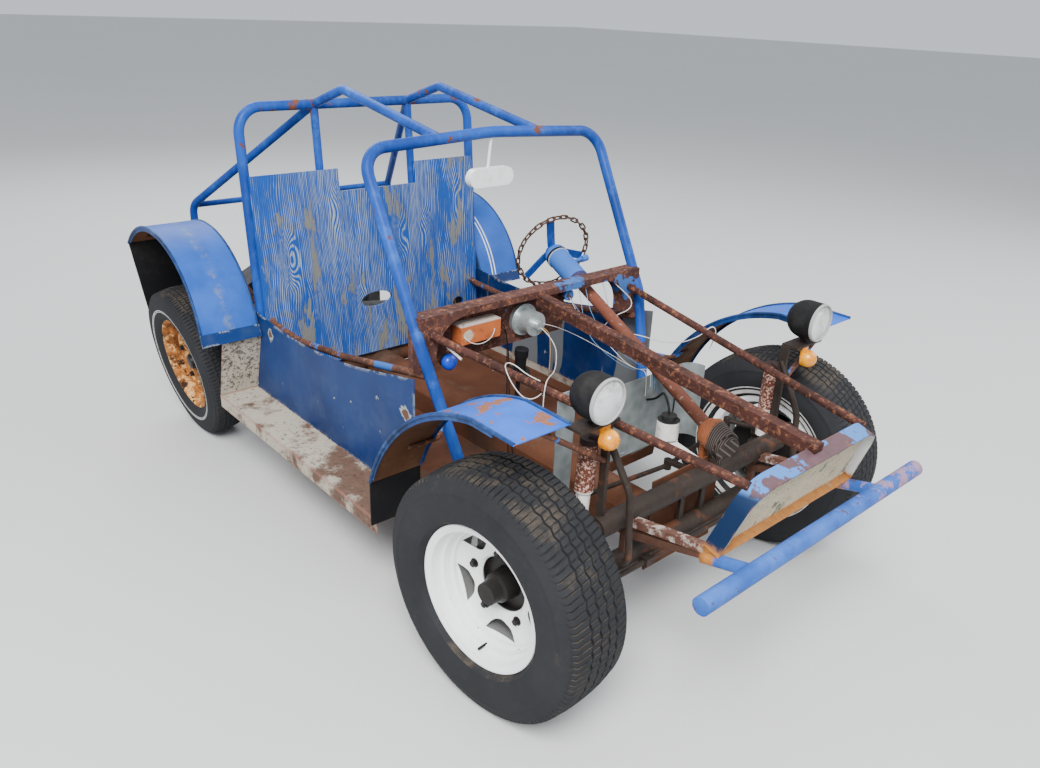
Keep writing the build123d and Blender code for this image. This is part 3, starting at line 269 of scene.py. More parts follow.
def fender_skin(name, axle, paint, striped):
    """Painted on the side that faces away from the axle and rusty on the side that faces it."""
    look = Finish(name, 0.45)
    spoke = look.vector("MULTIPLY", look.vector("SUBTRACT", look.place, axle), (0, 1, 1))
    outside = look.vector("DOT_PRODUCT", look.normal(), spoke).step(-0.02, 0.02)
    look.ground((5, 7, 0.6, 0.35, 0.7), paint, tuple(1.25 * c + 0.012 for c in paint))
    look.coat((70, 6, 0.7, 0.55, 0.75, 0.35), (0.03, 0.09, 0.27))
    if striped:
        for line in STRIPES:
            look.coat(look.axis("X").off(line).step(*STRIPE_HALF), (0.75, 0.78, 0.82))
        streak = look.axis("X").off(STREAK).step(0.030, 0.0) * look.noise(30, 8, 0.7, 0.45, 0.72)
        look.coat(streak * 0.8, (0.20, 0.21, 0.15))
    else:
        for spot, reach in FENDER_SCABS:
            scab = (look.near(spot, reach, reach * 0.2) * 0.22 + look.noise(24, 7, 0.6)).step(0.62, 0.64)
            look.coat(scab, look.noise(90, 4).mix((0.15, 0.055, 0.03), (0.34, 0.15, 0.09)))
    scabs = (look.noise(15, 9, 0.7) + look.edges(0.008) * 0.08).step(0.70, 0.72)
    look.coat(scabs, (0.19, 0.075, 0.04))
    inner = look.noise(12, 8, 0.7).mix((0.040, 0.018, 0.011), (0.17, 0.075, 0.034))
    inner = look.noise(4, 8, 0.7, 0.5, 0.68, 0.6).mix(inner, (0.17, 0.125, 0.085))
    look.tone = outside.mix(inner, look.tone)
    return look.finish(look.noise(60, 6, 0.7) - scabs * 1.5, 0.0006, 0.9 - outside * 0.45)


dress(fender_skin("front_fender_enamel", FRONT_AXLE, (0.016, 0.105, 0.50), False), "front_fenders")
dress(fender_skin("rear_fender_enamel", REAR_AXLE, (0.014, 0.080, 0.35), True), "rear_fenders")


def add_piece(name, data, body):
    """Links new data as a piece at the origin that rides on a body."""
    made = bpy.data.objects.new(name, data)
    bpy.context.scene.collection.objects.link(made)
    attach(made, body)
    return made


def tidy_shell(mesh, smooth, merge=None):
    """Turns a mesh's faces outwards and rounds its shading up to an angle in degrees."""
    shell = bmesh.new()
    shell.from_mesh(mesh)
    if merge:
        bmesh.ops.remove_doubles(shell, verts=shell.verts, dist=merge)
    bmesh.ops.recalc_face_normals(shell, faces=shell.faces)
    shell.to_mesh(mesh)
    shell.free()
    mesh.polygons.foreach_set("use_smooth", [True] * len(mesh.polygons))
    mesh.set_sharp_from_angle(angle=math.radians(smooth))


def piece(name, parts, materials, body="root", face_looks=None, smooth=45, merge=None):
    """A new mesh piece made of closed shells, each a pair of vertices and faces."""
    verts, faces = [], []
    for more_verts, more_faces in parts:
        faces += [tuple(k + len(verts) for k in face) for face in more_faces]
        verts += [tuple(v) for v in more_verts]
    mesh = bpy.data.meshes.new(name)
    mesh.from_pydata(verts, [], faces)
    for material in materials:
        mesh.materials.append(material)
    if face_looks:
        mesh.polygons.foreach_set("material_index", face_looks)
    tidy_shell(mesh, smooth, merge)
    return add_piece(name, mesh, body)


def place(x, station, z):
    """A point in metres from millimetres: across, behind the front axle, up."""
    return Vector((x / 1000, station / 1000 + FRONT_AXLE.y, z / 1000))


def arc(start, middle, end, count):
    """Points in a plane along the circle through three points."""
    (ax, ay), (bx, by), (cx, cy) = start, middle, end
    twice = 2 * (ax * (by - cy) + bx * (cy - ay) + cx * (ay - by))
    ux = ((ax**2 + ay**2) * (by - cy) + (bx**2 + by**2) * (cy - ay) + (cx**2 + cy**2) * (ay - by)) / twice
    uy = ((ax**2 + ay**2) * (cx - bx) + (bx**2 + by**2) * (ax - cx) + (cx**2 + cy**2) * (bx - ax)) / twice
    radius = math.dist((ax, ay), (ux, uy))
    first = math.atan2(ay - uy, ax - ux)
    sweep = (math.atan2(cy - uy, cx - ux) - first) % math.tau
    if (math.atan2(by - uy, bx - ux) - first) % math.tau > sweep:
        sweep -= math.tau
    angles = [first + sweep * i / count for i in range(count + 1)]
    return [(ux + radius * math.cos(a), uy + radius * math.sin(a)) for a in angles]


def skin(rows, count, ring=False):
    """Faces over rows of count points, joined into a ring or closed by a cap at each end."""
    faces = []
    for i in range(rows if ring else rows - 1):
        here, there = i * count, (i + 1) % rows * count
        faces += [(here + j, here + (j + 1) % count, there + (j + 1) % count, there + j) for j in range(count)]
    if not ring:
        faces += [tuple(range(count)), tuple(range((rows - 1) * count, rows * count))]
    return faces


def swept(points, outline):
    """A closed outline carried along points, its first axis level where it can be."""
    verts = []
    for before, point, after in zip([points[0], *points], points, [*points[1:], points[-1]]):
        run = (after - before).normalized()
        level = run.cross(UP)
        level = level.normalized() if level.length > 1e-4 else Vector((1, 0, 0))
        verts += [point + level * u + level.cross(run) * v for u, v in outline]
    return verts, skin(len(points), len(outline))


def circle(radius, sides):
    angles = [math.tau * k / sides for k in range(sides)]
    return [(radius * math.cos(a), radius * math.sin(a)) for a in angles]


# a fender's edge is a row of (station, height) in mm
rear_edge = arc((1587, 560), (1740, 819), (2000, 915), 22) + arc((2000, 915), (2160, 888), (2290, 800), 12)[1:]
front_edge = arc((490, 471), (297, 744), (19, 868), 26) + [(-60, 867), (-139, 866)]
LIP = [(-0.0015, -0.009), (0.0015, -0.009), (0.0015, 0.008), (-0.0015, 0.008)]
TURNED_BAND = [(1574, 556), (1582, 552), (1600, 596), (1592, 600)]
edge_blue = worn_enamel("edge_blue", (0.012, 0.045, 0.17), (0.006, 0.02, 0.07), (0.05, 0.12, 0.30), 0.66)
for side_name, side in (("left", 1), ("right", -1)):
    for end_name, edge, edge_xs in (("rear", rear_edge, (563, 787)), ("front", front_edge, (567, 746))):
        parts = []
        for edge_x in edge_xs:
            parts.append(swept([place(side * edge_x, s, z + 0.5) for s, z in edge], circle(0.0055, 10)))
            parts.append(swept([place(side * (edge_x - 1.5), s, z - 7) for s, z in edge[1:-1]], LIP))
        piece(f"{end_name}_fender_{side_name}_wired_edges", parts, [edge_blue])
    # the turned band across the low front end of each rear fender
    band = [place(side * x, s, z) for x in (556, 792) for s, z in TURNED_BAND]
    piece(f"rear_fender_{side_name}_turned_band", [(band, skin(2, 4))], [panel_enamel])

# Flaps: black rubber sheets behind the wheels, held to the fenders by a row of bolts.
# Dusty, with scratches and a paler lower edge.
look = Finish("flap_rubber", 0.8)
look.ground((6, 8, 0.7, 0.45, 0.75, 0.25), (0.007, 0.007, 0.008), (0.06, 0.052, 0.045))
flap_black = look.finish((140, 5), 0.0005)
dress(flap_black, "flaps")

# Seat back: a plywood sheet bolted to the uprights, once painted blue.
# The paint has washed out of the open vertical grain, which curls round the knots, and the edges split.
look = Finish("weathered_plywood", 0.85)
across, up = look.axis("X"), look.axis("Z")
phase = across + look.noise(2.6, 3, 0.5, share=0.20, stretch=(1, 1, 0.38))
# each knot is (across, up, pull on the grain) in metres
for knot_x, knot_z, pull in (
    (-0.40, 0.83, 0.050), (-0.31, 0.62, -0.030), (0.12, 0.86, 0.035), (0.27, 0.83, -0.030), (0.42, 0.98, 0.025),
    (-0.10, 0.70, 0.025), (-0.16, 0.98, -0.030),
):
    knot = look.made("ShaderNodeCombineXYZ", 0, {0: (across - knot_x) * 2.8, 2: up - knot_z})
    phase += look.vector("LENGTH", knot, (0, 0, 0)).step(0.15, 0.0) * pull
rings = phase.sine(780)
broken = look.noise(1, 5, 0.6, stretch=(60, 1, 7))
fine = look.noise(1, 6, 0.65, stretch=(260, 20, 6))
heavy = look.noise(1, 4, 0.5, share=4.0, stretch=(7, 1, 1.7), shift=(5, 0, 1))
bare = (rings + (heavy + broken * 2.6)).step(3.6, 4.4) * fine.step(0.34, 0.55)
blue = look.noise(6, 5, 0.6).mix((0.005, 0.045, 0.24), (0.012, 0.085, 0.36))
look.ground(bare, blue, fine.mix((0.10, 0.15, 0.24), (0.40, 0.44, 0.47)))
worn = look.noise(1, 7, 0.62, stretch=(17, 1, 4.6), shift=(2.0, 0, 0.3)) + up.step(0.60, 0.42) * 0.05 + rings * 0.018
look.coat(worn.step(0.57, 0.61) * 0.9, fine.mix((0.085, 0.090, 0.080), (0.25, 0.235, 0.18)))
crack = look.noise(1, 4, 0.5, 0.70, 0.73, stretch=(70, 8, 1.6), shift=(1, 2, 3))
look.coat(crack, (0.012, 0.013, 0.018))
dress(look.finish(rings * -0.35 - crack, 0.0016), "seat_back")

# Nose: the grille strip, its woven screen, the cross tube bumper and the two square horns behind it.
# The strip is dark blue outside, white inside and pink with blue flakes on top; its foot is orange with rust.
look = Finish("grille_strip_paint", 0.55)
inside = (look.axis("X", look.normal()) * look.axis("X")).step(0.01, -0.01)
look.ground(inside, (0.006, 0.020, 0.060), (0.60, 0.60, 0.58))
pink = look.noise(30, 7, 0.7).mix((0.060, 0.032, 0.036), (0.15, 0.085, 0.10))
flaked = look.noise(9, 8, 0.6, 0.54, 0.57, shift=(0.4, 0, 0)).mix(pink, (0.07, 0.20, 0.50))
look.coat(look.axis("Z").step(0.715, 0.735), flaked)
foot = (look.axis("Z") + look.noise(25, 7, 0.7, share=0.06)).step(0.600, 0.582)
look.coat(foot, look.noise(50, 6, 0.7).mix((0.16, 0.055, 0.02), (0.62, 0.27, 0.07)))
look.coat((look.noise(28, 8, 0.7) + look.edges(0.006) * 0.12).step(0.66, 0.69), (0.20, 0.09, 0.05))
dress(look.finish((80, 6), 0.0006), "grille_frame")

look = Finish("bumper_enamel", 0.55)
look.ground((7, 6, 0.6, 0.35, 0.65), (0.022, 0.085, 0.34), (0.055, 0.155, 0.50))
far_end = (look.axis("X") * 0.33 + look.noise(16, 8, 0.7)).step(0.60, 0.68)
look.coat(far_end, look.noise(60, 6, 0.7).mix((0.17, 0.10, 0.20), (0.42, 0.28, 0.36)))
look.coat((38, 8, 0.7, 0.60, 0.64, 0.85), (0.09, 0.045, 0.045))
upper = look.noise(26, 8, 0.72, 0.50, 0.58).mix((0.11, 0.050, 0.036), (0.40, 0.33, 0.29))
lower = look.noise(30, 8, 0.7).mix((0.030, 0.016, 0.012), (0.13, 0.062, 0.042))
# the upper horn lies above a line that falls towards the beam
horn = (look.axis("Z") - look.axis("Y") * -0.225).step(0.209, 0.213).mix(lower, upper)
weld = look.noise(50).mix((0.20, 0.06, 0.015), (0.60, 0.26, 0.06))
horn = look.axis("Y").step(-1.385, -1.425).mix(horn, weld)
look.coat(look.axis("Y").step(-1.455, -1.440), horn)
dress(look.finish((90, 7, 0.7), 0.0008), "front_bumper")

look = Finish("grille_screen_paint", 0.75)
look.ground((20, 7, 0.7), (0.46, 0.40, 0.28), (0.70, 0.62, 0.46))
look.coat((9, 8, 0.7, 0.56, 0.64), (0.12, 0.16, 0.12))
look.coat(look.noise(14, 8, 0.7, 0.60, 0.66, shift=(5, 3, 1)), (0.30, 0.14, 0.05))
screen_paint = look.finish((120, 4), 0.0004)


class Growth:
    """A geometry node tree that grows a piece from a seed mesh, with its sizes as named inputs."""

    def __init__(self, name, *sizes):
        self.tree = bpy.data.node_groups.new(name, "GeometryNodeTree")
        self.socket("Seed", "INPUT", "NodeSocketGeometry")
        for size in sizes:
            self.socket(size, "INPUT", "NodeSocketFloat")
        self.socket("Piece", "OUTPUT", "NodeSocketGeometry")
        self.entry = self.node("NodeGroupInput").outputs

    def socket(self, name, way, kind):
        self.tree.interface.new_socket(name, in_out=way, socket_type=kind)

    def node(self, kind, **settings):
        made = self.tree.nodes.new(kind)
        for key, value in settings.items():
            setattr(made, key, value)
        return made

    def link(self, *pairs):
        for start, end in pairs:
            self.tree.links.new(start, end)

    def ended(self, last, material):
        """Realizes the instances, sets the material and gives the whole tree."""
        whole = self.node("GeometryNodeRealizeInstances")
        paint = self.node("GeometryNodeSetMaterial")
        paint.inputs["Material"].default_value = material
        leave = self.node("NodeGroupOutput")
        self.link((last, whole.inputs[0]), (whole.outputs[0], paint.inputs[0]), (paint.outputs[0], leave.inputs[0]))
        return self.tree


def grown(name, seed_mesh, tree, body, settings):
    """Runs a geometry node tree on a mesh and keeps the plain result as a riding piece."""
    holder = bpy.data.objects.new(name + "_seed", seed_mesh)
    bpy.context.scene.collection.objects.link(holder)
    modifier = holder.modifiers.new("grow", "NODES")
    modifier.node_group = tree
    for socket in tree.interface.items_tree:
        if socket.name in settings:
            modifier[socket.identifier] = settings[socket.name]
    bpy.context.view_layer.update()
    evaluated = holder.evaluated_get(bpy.context.evaluated_depsgraph_get())
    mesh = bpy.data.meshes.new_from_object(evaluated)
    holder.modifiers.clear()
    bpy.data.objects.remove(holder)
    mesh.name = name
    mesh.polygons.foreach_set("use_smooth", [True] * len(mesh.polygons))
    return add_piece(name, mesh, body)


def strand_tree():
    """Turns a net of edges into wires."""
    growth = Growth("woven_wires", "Wire radius")
    curves = growth.node("GeometryNodeMeshToCurve")
    section = growth.node("GeometryNodeCurvePrimitiveCircle")
    section.inputs["Resolution"].default_value = 5
    solid = growth.node("GeometryNodeCurveToMesh")
    solid.inputs["Fill Caps"].default_value = True
    growth.link(
        (growth.entry[0], curves.inputs[0]),
        (growth.entry[1], section.inputs["Radius"]),
        (curves.outputs[0], solid.inputs["Curve"]),
        (section.outputs[0], solid.inputs["Profile Curve"]),
    )
    return growth.ended(solid.outputs[0], screen_paint)


# the screen's net lies in the leaning plane of the strip; its sizes are in metres
SCREEN_FOOT, SCREEN_HEAD = place(0, -422, 547), place(0, -490, 753)
SCREEN_HALF, SCREEN_TAPER, SCREEN_CORNER = 0.318, 0.028, 0.088
PITCH, FIRST_ROW, OVERLAP = 0.0085, 0.004, 0.002
screen_height = (SCREEN_HEAD - SCREEN_FOOT).length
screen_rise = (SCREEN_HEAD - SCREEN_FOOT).normalized()


def screen_half(t):
    """Half width of the screen at a height."""
    rest = max(t - (screen_height - SCREEN_CORNER), 0)
    round_off = SCREEN_CORNER - math.sqrt(max(SCREEN_CORNER**2 - rest**2, 0))
    return SCREEN_HALF - SCREEN_TAPER * t / screen_height - round_off


random.seed(7)
columns = int(2 * (SCREEN_HALF + OVERLAP) / PITCH)
net_verts, knots = [], {}
for row in range(int(screen_height / PITCH)):
    t = FIRST_ROW + row * PITCH
    for column in range(-columns // 2, columns // 2 + 1):
        x = column * PITCH
        if abs(x) < screen_half(t) + OVERLAP:
            sag = 0.003 * math.sin(9 * x) * math.sin(14 * t) + random.uniform(-0.0006, 0.0006)
            knots[row, column] = len(net_verts)
            across = Vector((x + random.uniform(-0.0005, 0.0005), sag, 0))
            net_verts.append(SCREEN_FOOT + screen_rise * t + across)
net_edges = []
for (row, column), here in knots.items():
    for beside in ((row + 1, column), (row, column + 1)):
        if beside in knots:
            net_edges.append((here, knots[beside]))
net = bpy.data.meshes.new("screen_net")
net.from_pydata(net_verts, net_edges, [])
screen = grown("grille_screen", net, strand_tree(), "root", {"Wire radius": 0.0011})
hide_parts("grille_mesh")

# Tyres: wide all-terrain covers in front with zigzag grooves and shoulder blocks, narrow ribbed ones behind.
# Black rubber gone grey, with dry soil on the tread; white rings on the rear walls and inside the left front one.
look = Finish("tyre_rubber", 0.8)
look.ground((5, 6, 0.6), (0.012, 0.0125, 0.014), (0.030, 0.031, 0.034))
soil = look.axis("Z", look.normal()).step(0.15, 0.95) * 0.16 + look.noise(7, 10, 0.75)
look.coat(soil.step(0.62, 0.76) * 0.75, look.noise(160, 4).mix((0.030, 0.023, 0.017), (0.125, 0.10, 0.074)))
look.coat((30, 6, 0.7, 0.5, 0.9, 0.10), (0.12, 0.11, 0.095))
tyre_rubber = look.finish((260, 4, 0.6), 0.0004)
look = Finish("white_wall_ring", 0.7)
look.ground((35, 7, 0.7, 0.45, 0.75), (0.62, 0.61, 0.58), (0.34, 0.31, 0.27))
ring_white = look.finish((150, 3), 0.0003)

wheel_at = {}
for joint in frame["joints"]:
    if joint["name"].startswith("roll_"):
        wheel_at[joint["child"]] = (Vector(joint["pos_m"]), Vector(joint["axis"]).normalized())
    if joint["name"] == "wheel_turn":
        wheel_at["steering_wheel"] = (Vector(joint["pos_m"]), Vector(joint["axis"]).normalized())


def on_axle(body, x, radius, angle):
    """A point at a distance out along a wheel's axle, from millimetres."""
    centre, axle = wheel_at[body]
    level = axle.cross(UP).normalized()
    rise = level.cross(axle)
    return centre + axle * (x / 1000) + (level * math.cos(angle) + rise * math.sin(angle)) * (radius / 1000)


# a tyre's sizes in mm
RIM_SEAT, CROWN_DROP, SHOULDER, BLOCK_LENGTH = 190.8, 8, 20, 22
WALL_MARKS = {194.8, 204, 209, 213, 222, 236, 250, 264, 278, 292, 304, 306, 318, 330}
WALL_RIBS, WALL_RIB_HEIGHT, BEAD_SLOPE = (222, 306), 1.3, 2.4
GROOVE_SWAY, RIB_SWAY, CUT_DEPTH, GROOVE_SLOPE = 3.2, 1.6, 4.5, 1.2
# a pitch is divided at these shares of it, and cut across at some of them
FRACTIONS = (0, 0.10, 0.13, 0.21, 0.24, 0.5, 0.60, 0.63, 0.71, 0.74)
CUT_FRACTIONS = (0.13, 0.21, 0.63, 0.71)


def carved_tyre(body, width, outer, flange, pitches, grooves, groove_depth, shoulder_cut, rings):
    """A tyre with zigzag grooves, cross cuts at set places in each pitch, and white rings on its walls.

    grooves are (centre, width) in mm; rings are (side, low radius, high radius) in mm.
    """
    edge = outer - CROWN_DROP
    tread, bead, belly = width * 0.40, width * 0.36, (RIM_SEAT + outer) / 2
    wall = arc((bead, RIM_SEAT), (width / 2, belly), (tread, edge), 60)
    marks = WALL_MARKS | {edge - 9, edge - 2} | {r for _, low, high in rings for r in (low, high)}

    def wall_columns(side):
        found = []
        for r in sorted(r for r in marks if r < edge - 1):
            swell = min(wall, key=lambda p: abs(p[1] - r))[0]
            x = min(swell, bead - 1 + max(0, r - flange) * BEAD_SLOPE) + (WALL_RIB_HEIGHT if r in WALL_RIBS else 0)
            cut = shoulder_cut * 0.8 if r > edge - 10 else 0
            found.append((side * x, r, 0, cut, any(side == s and low <= r < high for s, low, high in rings)))
        return found

    def crown(x):
        return outer - CROWN_DROP * (x / tread) ** 2

    # columns are (across, radius, sway, cut depth, white)
    tread_columns = []
    edges = [tread]
    for centre, gap in sorted(grooves, reverse=True):
        half = gap / 2
        for offset, deep in ((half, 0), (half - GROOVE_SLOPE, 1), (GROOVE_SLOPE - half, 1), (-half, 0)):
            tread_columns.append((centre + offset, crown(centre) - groove_depth * deep, GROOVE_SWAY, 0, False))
        edges += [centre + half, centre - half]
    edges.append(-tread)
    for left, right in zip(edges[::2], edges[1::2]):
        for x in (left + (right - left) * 0.3, left + (right - left) * 0.7):
            tread_columns.append((x, crown(x), RIB_SWAY, CUT_DEPTH, False))
    for x in (tread - 1, tread - BLOCK_LENGTH, BLOCK_LENGTH - tread, 1 - tread):
        tread_columns.append((x, crown(x), 0, shoulder_cut, False))
    tread_columns.sort(key=lambda c: -c[0])
    columns = [(bead, RIM_SEAT, 0, 0, False), *wall_columns(1), *tread_columns]
    columns += [*wall_columns(-1)[::-1], (-bead, RIM_SEAT, 0, 0, False)]
    verts = []
    for k in range(pitches):
        for f in FRACTIONS:
            wave = 1 - 4 * abs(((f + 0.25) % 1) - 0.5)
            for x, r, sway, cut, _ in columns:
                angle = math.tau * (k + f) / pitches
                if (sway or cut) and r > outer - SHOULDER:
                    angle += 0.55 * min(abs(x), tread) / outer * math.copysign(0.25, x)
                verts.append(on_axle(body, x + sway * wave, r - (cut if f in CUT_FRACTIONS else 0), angle))
    beside = [*columns[1:], columns[0]]
    looks = [int((here if here[0] > 0 else there)[4]) for here, there in zip(columns, beside)]
    total = pitches * len(FRACTIONS)
    shell = (verts, skin(total, len(columns), True))
    made = piece(f"{body}_cover", [shell], [tyre_rubber, ring_white], body, looks * total, 35)
    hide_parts(body.replace("road_wheel", "tyre"))


front_grooves = ((47, 8), (15.5, 7), (-15.5, 7), (-47, 8))
rear_grooves = ((32, 5), (11, 5), (-11, 5), (-32, 5))
for side_name, front_rings in (("right", ()), ("left", ((-1, 222, 236), (-1, 244, 248)))):
    carved_tyre(f"road_wheel_front_{side_name}", 235, 356, 209.5, 58, front_grooves, 6.5, 5, front_rings)
for side_name in ("left", "right"):
    rear_rings = ((1, 240, 243), (1, 246, 250))
    carved_tyre(f"road_wheel_rear_{side_name}", 160, 325, 200.5, 64, rear_grooves, 5.0, 2.5, rear_rings)

# Wheels: pressed steel rims with a dished disc, D-shaped windows and five bolts on a wide circle.
# The front pair is white enamel with rust on the lip; the rear pair has lost all its paint to orange rust.
look = Finish("wheel_white_enamel", 0.4)
look.ground((9, 6, 0.6), (0.84, 0.85, 0.84), (0.93, 0.94, 0.93))
look.coat((26, 8, 0.7, 0.56, 0.78, 0.22), (0.33, 0.28, 0.22))
look.coat((look.noise(45, 8, 0.7) + look.edges(0.005) * 0.10).step(0.705, 0.73), (0.36, 0.15, 0.05))
wheel_white = look.finish((60,), 0.0004)
# painted shade: a dark grey for the inside of the front rims behind the disc, where the white lies in shadow
look = Finish("wheel_inner_grey", 0.8)
look.ground((30, 8, 0.7), (0.10, 0.10, 0.10), (0.26, 0.255, 0.245))
rim_painted_shade = look.finish((60, 6), 0.0006)
look = Finish("wheel_orange_rust", 0.9)
look.ground((14, 8, 0.7, 0.35, 0.65), (0.13, 0.045, 0.015), (0.50, 0.19, 0.045))
look.coat((26, 8, 0.7, 0.50, 0.60), (0.75, 0.42, 0.16))
look.coat(look.noise(19, 8, 0.7, 0.56, 0.60, shift=(3, 8, 1)), (0.035, 0.018, 0.012))
wheel_orange = look.finish((70, 9, 0.75), 0.0022)


def lathe(body, outline, steps):
    """A closed outline of (out along the axle, radius) in mm turned about a wheel's axle."""
    verts = [on_axle(body, x, r, math.tau * i / steps) for i in range(steps) for x, r in outline]
    return verts, skin(steps, len(outline), True)


def from_axle(body, polygon):
    """How far out and from the axle a face lies, in mm, and how far it looks outwards."""
    centre, axle = wheel_at[body]
    away = polygon.center - centre
    out = away.dot(axle)
    return out * 1000, (away - axle * out).length * 1000, polygon.normal.dot(axle)


def pressed_disc(body, windows, half_angle, chord, sink, levels, turn=0.0):
    """A dished disc with D-shaped windows; levels are (radius, out along the axle) in mm."""
    steps, thick = windows * 28, 4
    below, above = 7, 2
    lowest, highest = levels[0][0], levels[-1][0]

    def level(radius):
        for (r0, x0), (r1, x1) in zip(levels, levels[1:]):
            if radius <= r1:
                share = (radius - r0) / (r1 - r0)
                return x0 + (x1 - x0) * (3 * share**2 - 2 * share**3)
        return levels[-1][1]

    rows_of = []
    for i in range(steps):
        phase = (i / steps * windows) % 1 - 0.5
        away = abs(phase) * math.tau / windows / half_angle
        outer = inner = chord
        if away < 1:
            outer = chord * math.cos(half_angle) / math.cos(away * half_angle)
            inner = outer - sink * math.sqrt(1 - away**2)
        radii = [lowest + (inner - lowest) * k / below for k in range(below + 1)]
        radii += [outer + (highest - outer) * k / above for k in range(above + 1)]
        rows_of.append((radii, away < 1 - 1e-6))
    verts, faces = [], []
    count = below + above + 2
    for depth in (0, thick):
        for i, (radii, _) in enumerate(rows_of):
            verts += [on_axle(body, level(r) - depth, r, math.tau * i / steps + turn) for r in radii]
    half = steps * count
    for i in range(steps):
        after = (i + 1) % steps
        here, there = i * count, after * count
        open_here = rows_of[i][1] or rows_of[after][1]
        edges = [0, count - 1] + ([below, below + 1] if open_here else [])
        faces += [(here + k, there + k, there + k + half, here + k + half) for k in edges]
        for k in range(count - 1):
            if k != below:
                face = (here + k, here + k + 1, there + k + 1, there + k)
                faces += [face, tuple(corner + half for corner in face[::-1])]
    return verts, faces


front_barrel = [
    (93, 205), (92.5, 209), (89, 210.5), (86, 209), (85, 200), (80, 192), (58, 190), (50, 182), (34, 179), (26, 170),
    (-30, 170), (-50, 182), (-80, 188), (-85, 196), (-86, 208), (-92, 208), (-92, 200), (-87, 186), (-52, 176),
    (-32, 164), (12, 164), (26, 164), (29, 173), (52, 176), (55, 184), (60, 187), (86, 188.5), (88, 195), (91, 201),
]
rear_barrel = [
    (62, 198), (61, 201), (58, 201), (56, 194), (52, 190), (34, 186), (26, 174), (-26, 174), (-40, 188), (-56, 192),
    (-58, 201), (-62, 201), (-62, 192), (-44, 184), (-30, 168), (28, 168), (37, 182), (54, 185), (60, 192),
]
front_levels = ((80, -7), (84, 0), (90, 4), (113, 6), (126, 4), (150, 8), (168, 14))
rear_levels = ((60, 4), (66, 12), (88, 16), (112, 10), (130, 20), (148, 14), (170, 2))
FRONT_BOLT_TURN = math.radians(13)
MERGE = 0.00002
# a front rim gets painted shade, a dark grey, behind its disc, up to these places in mm
SHADE_OUT, SHADE_RADIUS = 12, 176
for side_name in ("left", "right"):
    front, rear = f"road_wheel_front_{side_name}", f"road_wheel_rear_{side_name}"
    front_disc = pressed_disc(front, 5, math.radians(20), 163, 46, front_levels, FRONT_BOLT_TURN)
    rear_disc = pressed_disc(rear, 10, math.radians(10), 150, 18, rear_levels)
    for body, barrel, disc, coats, slot in (
        (front, front_barrel, front_disc, [wheel_white, rim_painted_shade], "wheel_white"),
        (rear, rear_barrel, rear_disc, [wheel_orange], "wheel_rust"),
    ):
        name = body.replace("road_", "")
        made = piece(f"{name}_pressing", [lathe(body, barrel, 96), disc], coats, body, smooth=40, merge=MERGE)
        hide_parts(name)
        # faces behind the disc take the painted shade
        for polygon in made.data.polygons if body == front else ():
            out, radius, facing = from_axle(body, polygon)
            polygon.material_index = int(facing < 0.3 and out < SHADE_OUT and radius < SHADE_RADIUS)

# Hubs: black drums behind the discs, dust caps and five hexagon bolts to a wheel.
# Cast iron with oily black dirt; the bolts stand in pressed seats.
look = Finish("oily_black_iron", 0.45)
look.ground((22, 8, 0.7), (0.005, 0.0045, 0.0045), (0.026, 0.022, 0.020))
look.coat((12, 8, 0.7, 0.66, 0.74), (0.06, 0.028, 0.015))
iron_black = look.finish((80, 6), 0.0008, look.noise(30, share=0.5) + 0.15)
dress(iron_black, "hub_front_left", "hub_front_right", "hub_rear_left", "hub_rear_right")


def bolt_ring(body, circle_radius, base, turn):
    """Five hexagon bolt heads with a washer face round a wheel's axle, in mm."""
    corners, count, height, size = 24, 5, 13, 10.5
    # each ring of a head is (out, radius, hexagonal)
    rings = ((0, size * 1.3, 0), (2, size * 1.3, 0), (2.2, size, 1), (height - 2, size, 1), (height, size * 0.85, 1))
    centre, axle = wheel_at[body]
    level = axle.cross(UP).normalized()
    parts = []
    for k in range(count):
        spot = on_axle(body, base, circle_radius, math.tau * (k + turn) / count)
        verts = []
        for out, radius, hexagonal in rings:
            for c in range(corners):
                angle = math.tau * c / corners
                reach = radius / 1000
                if hexagonal:
                    reach *= math.cos(math.pi / 6) / math.cos((angle % (math.pi / 3)) - math.pi / 6)
                spoke = level * math.cos(angle) + level.cross(axle) * math.sin(angle)
                verts.append(spot + axle * (out / 1000) + spoke * reach)
        parts.append((verts, skin(len(rings), corners)))
    return parts


front_cap = ((14, 42), (20, 34), (50, 31), (55, 30), (58, 26), (58, 21), (55, 19), (55, 0.5), (14, 0.5))
rear_cap = ((6, 34), (24, 34), (30, 28), (36, 22), (38, 0.5), (6, 0.5))
for side_name in ("left", "right"):
    for end_name, base, cap, turn in (
        ("front", 5, front_cap, FRONT_BOLT_TURN / math.tau * 5),
        ("rear", 15.5, rear_cap, 0.25),
    ):
        body = f"road_wheel_{end_name}_{side_name}"
        parts = [*bolt_ring(body, 102.5, base, turn), lathe(body, cap, 40)]
        if end_name == "front":
            stem = [on_axle(body, out, 177, math.radians(-88)) for out in (44, 60, 61, 76)]
            parts.append(swept(stem, circle(0.004, 10)))
        piece(f"{end_name}_{side_name}_cap_and_bolts", parts, [iron_black], body, smooth=30)

